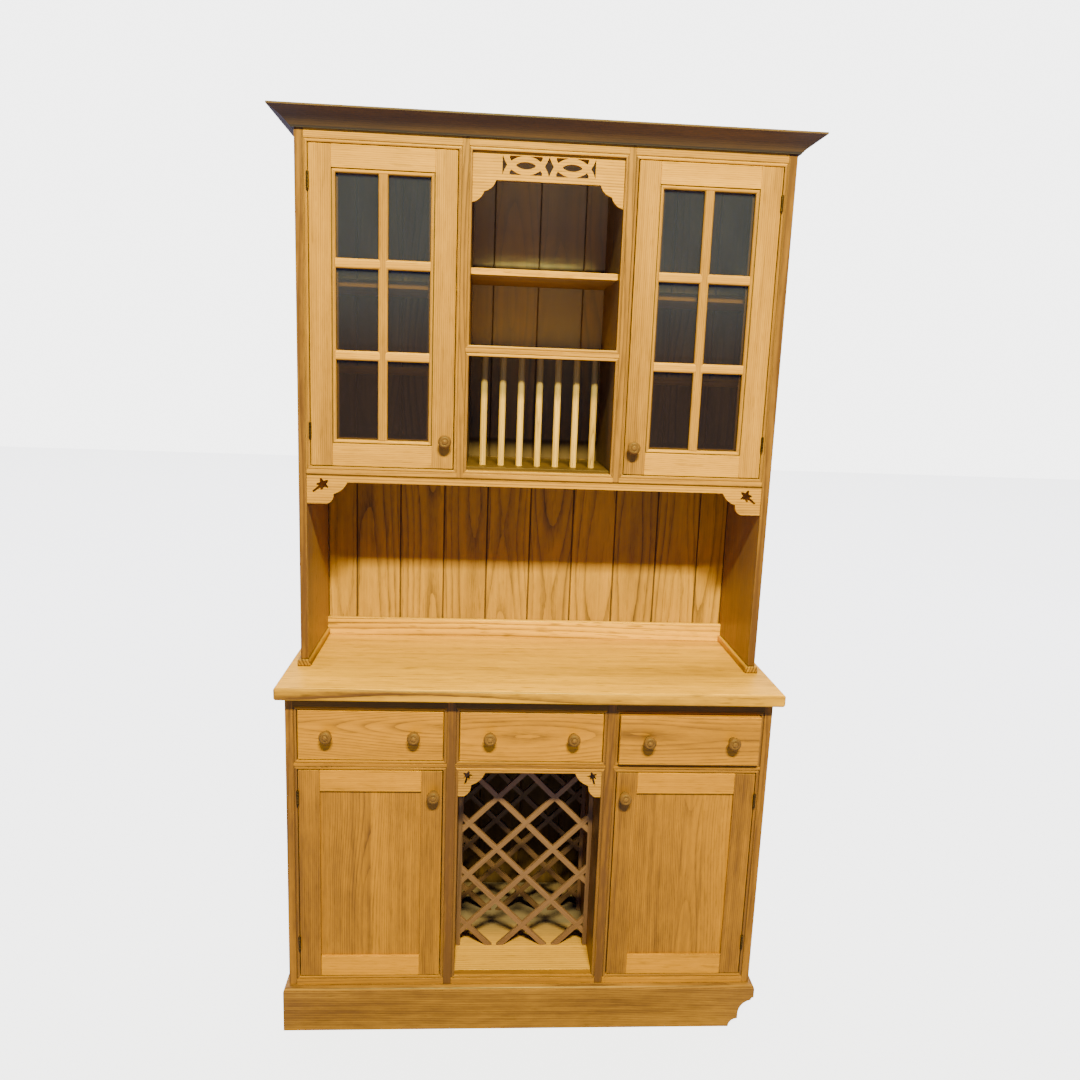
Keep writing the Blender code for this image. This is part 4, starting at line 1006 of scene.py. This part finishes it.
# %% A turned knob
def knob(node, body):
    """A foot, a hollow neck and a full head with a softly domed face."""
    left, right, front, rear, low, high = span(node)
    radius = (right - left) / 2 + 0.0002
    length = rear - front
    centre = ((left + right) / 2, rear, (low + high) / 2)
    rim, thick = 0.39 * radius, 0.25 * length
    head = arc((radius - rim, 0.685 * length), (rim, thick), -90, 90, 15)
    neck = np.array([[0.006, 0.0], [0.60, 0.0], [0.62, 0.05], [0.56, 0.11], [0.46, 0.20],
                     [0.43, 0.30], [0.46, 0.38], [0.53, 0.425]]) * (radius, length)
    face = np.array([[0.54, 0.925], [0.47, 0.908], [0.41, 0.912], [0.36, 0.945], [0.30, 0.970],
                     [0.16, 0.994], [0.006, 1.0]]) * (radius, length)
    piece = Piece(node, oak_turned)
    piece.turned(np.vstack([neck, head, face]), centre, (0, -1, 0), 36,
                 tone=bench.uniform(-0.15, 0.15))
    look, grain = piece.look[-1], piece.grain[-1]
    height = (grain[:, 0] - grain[:, 0].min()) / length
    # the neck and a ring in the dish of the face are darkened
    look[:, 2] = np.interp(height, [0.0, 0.30, 0.44, 0.60, 0.86, 0.91, 0.935, 0.97],
                           [0.55, 0.65, 0.40, 0.0, 0.10, 0.40, 0.30, 0.0])
    piece.made(body)


knob_bodies = {node: body for body, nodes in frame["record"]["behaviour"]["bodies"].items()
               for node in nodes if "knob" in node}
for node, body in knob_bodies.items():
    knob(node, body)
print("knobs:", len(knob_bodies))

# %% [markdown]
# ## Drawers
#
# A drawer front is a plain board with its arrises taken off.  Behind it is a box of thinner
# boards: two sides, a front and a back let in between them, and a bottom in a groove.

# %% Fronts and boxes
WALL = 0.010
for word in ("left", "centre", "right"):
    body = f"drawer_{word}"
    panel(f"{body}_front", oak_drawer, "x", figure=FLAT, body=body, ease=0.0020,
          tone=-0.5 if word == "right" else -0.2)
    x0, x1, y0, y1, z0, z1 = span(f"{body}_box")
    piece = Piece(f"{body}_box", oak_hutch)
    left, right, front, rear, top = x0 + WALL, x1 - WALL, y0 + WALL, y1 - WALL, z1 - 0.0005
    for low, high, along in (((x0, y0, z0), (left, y1, z1), "y"),
                             ((right, y0, z0), (x1, y1, z1), "y"),
                             ((left, rear, z0), (right, y1, top), "x"),
                             ((left, y0, z0), (right, front, top), "x")):
        piece.board(low, high, along, ease=0.0010)
    piece.board((left, front, z0 + 0.0005), (right, rear, z0 + WALL), "x", ease=0.0003, staves=3)
    piece.made(body)
print("drawers: 3")

# %% [markdown]
# ## Panelled doors
#
# Stiles run the full height and the rails are tenoned between them.  The panel sits loose in a
# groove, so that it can swell and shrink, and stands back from the face of the frame.

# %% The base doors
BASE_STILE = 0.050
BASE_RAIL = 0.053
for word in ("left", "right"):
    body = f"door_base_{word}"
    x0, x1, y0, y1, z0, z1 = span(f"{body}_frame")
    piece = Piece(f"{body}_frame", oak_base)
    for a, b in ((x0, x0 + BASE_STILE), (x1 - BASE_STILE, x1)):
        piece.board((a, y0, z0), (b, y1, z1), "z", ease=0.0010, tone=0.0)
    for a, b in ((z0, z0 + BASE_RAIL), (z1 - BASE_RAIL, z1)):
        piece.board((x0 + BASE_STILE, y0, a), (x1 - BASE_STILE, y1, b), "x", ease=0.0010, tone=0.3)
    piece.made(body)
    panel(f"{body}_panel", oak_base, "z", 2, FLAT, body=body, ease=0.0005, tone=0.36)
print("base doors: 2")

# %% [markdown]
# ## Glazed doors
#
# Round the light runs an ovolo with a quirk, mitred at its corners.  The glazing bars carry the
# same ovolo on both sides of a narrow flat.  One sheet of glass lies in a rebate behind them and
# is held by thin beads.  Flat strips behind the glass repeat the bars, for whoever opens the door.

# %% The glazed doors
GLAZED_STILE = 0.0588
GLAZED_TOP = 0.0585
GLAZED_BOTTOM = 0.0622
BAR = 0.0223
MOULDING = 0.0094
REBATE = 0.0110
OVOLO_FOOT = 0.0062         # from the face of the door
OVOLO_RISE = 0.0052
BACK_BAR = 0.0160           # the strip behind the glass
BEHIND_GLASS = 0.0150       # from the face of the door


def ovolo(depth):
    """From the light outwards: a quarter round rising from the glass, a fillet and a quirk."""
    width = 0.0056
    curve = arc((width, OVOLO_FOOT), (-width, -OVOLO_RISE), 0, 90, 8)
    points = np.vstack([[0.0, depth], curve, [0.0072, 0.0010], [0.0072, 0.0030], [MOULDING, 0.0030],
                        [MOULDING, depth]])
    # dirt and painted shade along the glass and in the quirk
    grime = np.array([1.0, 0.8] + [0.0] * 7 + [0.2, 1.2, 1.2, 0.0])
    rubbed = np.array([0, 0] + [0.4, 0.6, 0.8, 0.9, 1.0, 1.0, 0.6] + [0.4, 0, 0, 0])
    return points, grime, rubbed


def bar_section():
    """A glazing bar: an ovolo on each side of a narrow flat, seen from its end."""
    half, width = BAR / 2, 0.0058
    left = arc((width - half, OVOLO_FOOT), (-width, -OVOLO_RISE), 0, 90, 7)
    right = left[::-1] * (-1, 1)
    return np.vstack([[-half, REBATE], left, right, [half, REBATE]])


def bars(piece, section, light, face, past, lift, **looks):
    """One upright and two cross bars that run past the edges of the light."""
    left, right, bottom, top = light
    middle = (left + right) / 2
    piece.bar(section, (middle, face, bottom - past), (middle, face, top + past), (1, 0, 0),
              (0, 1, 0), **looks)
    pane = (top - bottom - 2 * BAR) / 3
    for row in (1, 2):
        level = bottom + row * pane + (row - 0.5) * BAR
        piece.bar(section, (left - past, face + lift, level), (right + past, face + lift, level),
                  (0, 0, 1), (0, 1, 0), **looks)


for word in ("left", "right"):
    body = f"door_glazed_{word}"
    x0, x1, y0, y1, z0, z1 = span(f"{body}_frame")
    light = (x0 + GLAZED_STILE, x1 - GLAZED_STILE, z0 + GLAZED_BOTTOM, z1 - GLAZED_TOP)
    piece = Piece(f"{body}_frame", oak_hutch)
    a0, a1 = light[0] - MOULDING, light[1] + MOULDING
    b0, b1 = light[2] - MOULDING, light[3] + MOULDING
    for a, b in ((x0, a0), (a1, x1)):
        piece.board((a, y0, z0), (b, y1, z1), "z", ease=0.0010, tone=0.18)
    for a, b in ((z0, b0), (b1, z1)):
        piece.board((a0, y0, a), (a1, y1, b), "x", ease=0.0010, tone=0.20)
    section, grime, rubbed = ovolo(REBATE)
    piece.ring(light, y0, section, grime=grime, rubbed=rubbed, tone=0.2)
    rear_strip = [(0.0065, REBATE - 0.0002), (MOULDING, REBATE - 0.0002), (MOULDING, y1 - y0),
                  (0.0065, y1 - y0)]
    piece.ring(light, y0, rear_strip, tone=0.0)
    stop = [(-0.004, BEHIND_GLASS), (0.0062, BEHIND_GLASS), (0.0062, 0.0195), (0.0, 0.0195)]
    piece.ring(light, y0, stop, tone=0.1)
    rub = np.array([0, 0.2, 0.4, 0.6, 0.8, 1.0, 1.0, 0.8, 0.8, 1.0, 1.0, 0.8, 0.6, 0.4, 0.2, 0])
    # dirt and painted shade where the bars meet the glass
    dirt_and_shade = np.array([1.0, 0.7] + [0.0] * 12 + [0.7, 1.0])
    bars(piece, bar_section(), light, y0, 0.001, 0.0001, rubbed=rub, grime=dirt_and_shade, tone=0.2)
    width = BACK_BAR / 2
    strip = [(-width, 0.0185), (-width, BEHIND_GLASS), (width, BEHIND_GLASS), (width, 0.0185)]
    bars(piece, strip, light, y0, -0.0035, -0.0001, tone=0.1)
    piece.made(body)
    panel(f"{body}_glass", glass, "z", body=body, slot="glass", ease=0.0004)
print("glazed doors: 2")

# %% [markdown]
# ## Butt hinges
#
# Only the knuckles and the edges of the leaves show.  Five knuckles share the pin: three belong to
# the case and two to the door, so each set rides its own body and they mesh at every angle.

# %% Leaves and knuckles
LEAF = 0.001
KNUCKLES = 5
PLAY = 0.0001               # left free at each end of a knuckle


def hinge(node, body, sign):
    left, right, front, rear, low, high = span(node)
    radius = 0.0032
    outer = sign * max(abs(left), abs(right))
    axis_x = outer - sign * radius
    axis_y = front + radius
    edge_of_case = axis_x + sign * DOOR_GAP / 2 - sign * SEAT
    step = (high - low) / KNUCKLES
    case = Piece(node, brass, f"{node}_case")
    case.board((edge_of_case, axis_y, low + 0.0006),
               (edge_of_case - sign * LEAF, rear, high - 0.0006), "z", ease=0.0002)
    swing = Piece(None, brass, f"{node}_door_leaf")
    length, soft = step - 2 * PLAY, 0.0004
    profile = [(0.0001, 0), (radius - soft, 0), (radius, soft), (radius, length - soft),
               (radius - soft, length), (0.0001, length)]
    for number in range(KNUCKLES):
        base = (axis_x, axis_y, low + number * step + PLAY)
        (case, swing)[number % 2].turned(profile, base, (0, 0, 1), 20)
    door_edge = axis_x - sign * DOOR_GAP / 2
    swing.board((door_edge + sign * 0.0001, axis_y, low + step),
                (door_edge + sign * 0.0005, rear - 0.002, high - step), "z", ease=0.0001)
    case.made()
    swing.made(body)


for kind in ("base", "glazed"):
    for word, sign in (("left", -1), ("right", 1)):
        for level in ("upper", "lower"):
            hinge(f"hinge_{kind}_{word}_{level}", f"door_{kind}_{word}", sign)
print("hinges: 8")

# %% [markdown]
# ## Floor, light and camera
#
# The photograph was taken from just left of the middle and from a standing person's eye height,
# with the camera tipped down and slightly rolled.  The light comes from the front and above at about
# 45 degrees, which is why the shadow of the cabinet falls half way down the back boards.

# %% The stage
def stage_floor():
    mesh = bpy.data.meshes.new("floor")
    mesh.from_pydata([(-14, -14, 0), (14, -14, 0), (14, 14, 0), (-14, 14, 0)], [], [(0, 1, 2, 3)])
    floor = linked("floor", mesh)
    graph = Graph(bpy.data.materials.new("studio_floor"))
    graph.finish(Base_Color=(0.32, 0.32, 0.60, 1.0), Roughness=0.75)
    usual = Sock(graph, graph.tree.nodes["Principled BSDF"].outputs[0])
    glow = graph.make("ShaderNodeEmission", None, {"Color": (1.0, 1.0, 1.0, 1.0), "Strength": 6.5})
    graph.seen_as(0.6, usual, glow)
    mesh.materials.append(graph.owner)


def area_light(name, place, target, size, watts, colour):
    data = bpy.data.lights.new(name, "AREA")
    data.shape = "RECTANGLE"
    data.size, data.size_y = size
    data.energy = watts
    data.color = colour
    light = linked(name, data)
    light.location = place
    aim = Vector(target) - Vector(place)
    light.rotation_euler = aim.to_track_quat("-Z", "Y").to_euler()


def studio_world():
    """A weak bluish light from all round, which the camera sees as a plain white backdrop."""
    graph = Graph(bpy.data.worlds.new("studio"))
    room = graph.make("ShaderNodeBackground", None,
                      {"Color": (0.22, 0.50, 1.0, 1.0), "Strength": 0.33})
    wall = graph.make("ShaderNodeBackground", None, {"Strength": 6.0})
    graph.seen_as(1.0, room, wall)
    bpy.context.scene.world = graph.owner


SIDE_LIGHT = ((0.0, 0.2, 1.1), (3.0, 2.5), 170, (1.0, 0.96, 0.88))
LIGHTS = (
    ("key", (0.12, -3.6, 4.55), (0.0, 0.0, 1.05), (1.2, 0.32), 1100, (1.0, 0.95, 0.20)),
    ("left", (-5.5, 3.2, 2.6), *SIDE_LIGHT),
    ("right", (5.5, 3.2, 2.6), *SIDE_LIGHT),
    ("rear", (0.0, 7.0, 7.0), (0.0, 7.0, 0.0), (16.0, 10.0), 2800, (1.0, 0.97, 0.72)),
)
stage_floor()
for light in LIGHTS:
    area_light(*light)
studio_world()
print("lights:", len(LIGHTS))

# %% The camera
YAW, PITCH_DOWN, ROLL = (math.radians(angle) for angle in (3.7325, 10.7159, 2.1514))
EYE = (-0.1263, -2.1532, 1.6239)
FOCAL_SHARE = 881.7 / 1080      # the focal length as a share of the picture's width
SENSOR = 36


def photo_camera():
    """Forward from yaw and pitch, then the right and up vectors turned by the roll."""
    forward = Vector((math.sin(YAW) * math.cos(PITCH_DOWN), math.cos(YAW) * math.cos(PITCH_DOWN),
                      -math.sin(PITCH_DOWN)))
    level = Vector((math.cos(YAW), -math.sin(YAW), 0))
    upright = level.cross(forward)
    right_hand = math.cos(ROLL) * level + math.sin(ROLL) * upright
    up_vector = -math.sin(ROLL) * level + math.cos(ROLL) * upright
    data = bpy.data.cameras.new("camera")
    data.sensor_width = SENSOR
    data.lens = FOCAL_SHARE * SENSOR
    camera = linked("camera", data)
    turn = Matrix((right_hand, up_vector, -forward)).transposed()
    camera.matrix_world = Matrix.Translation(EYE) @ turn.to_4x4()
    bpy.context.scene.camera = camera


photo_camera()
print("camera at", [round(v, 3) for v in bpy.context.scene.camera.location])

# %% [markdown]
# ## Sizes
#
# The finished object must fill the same box as the solids.

# %% The end
print("scene built")
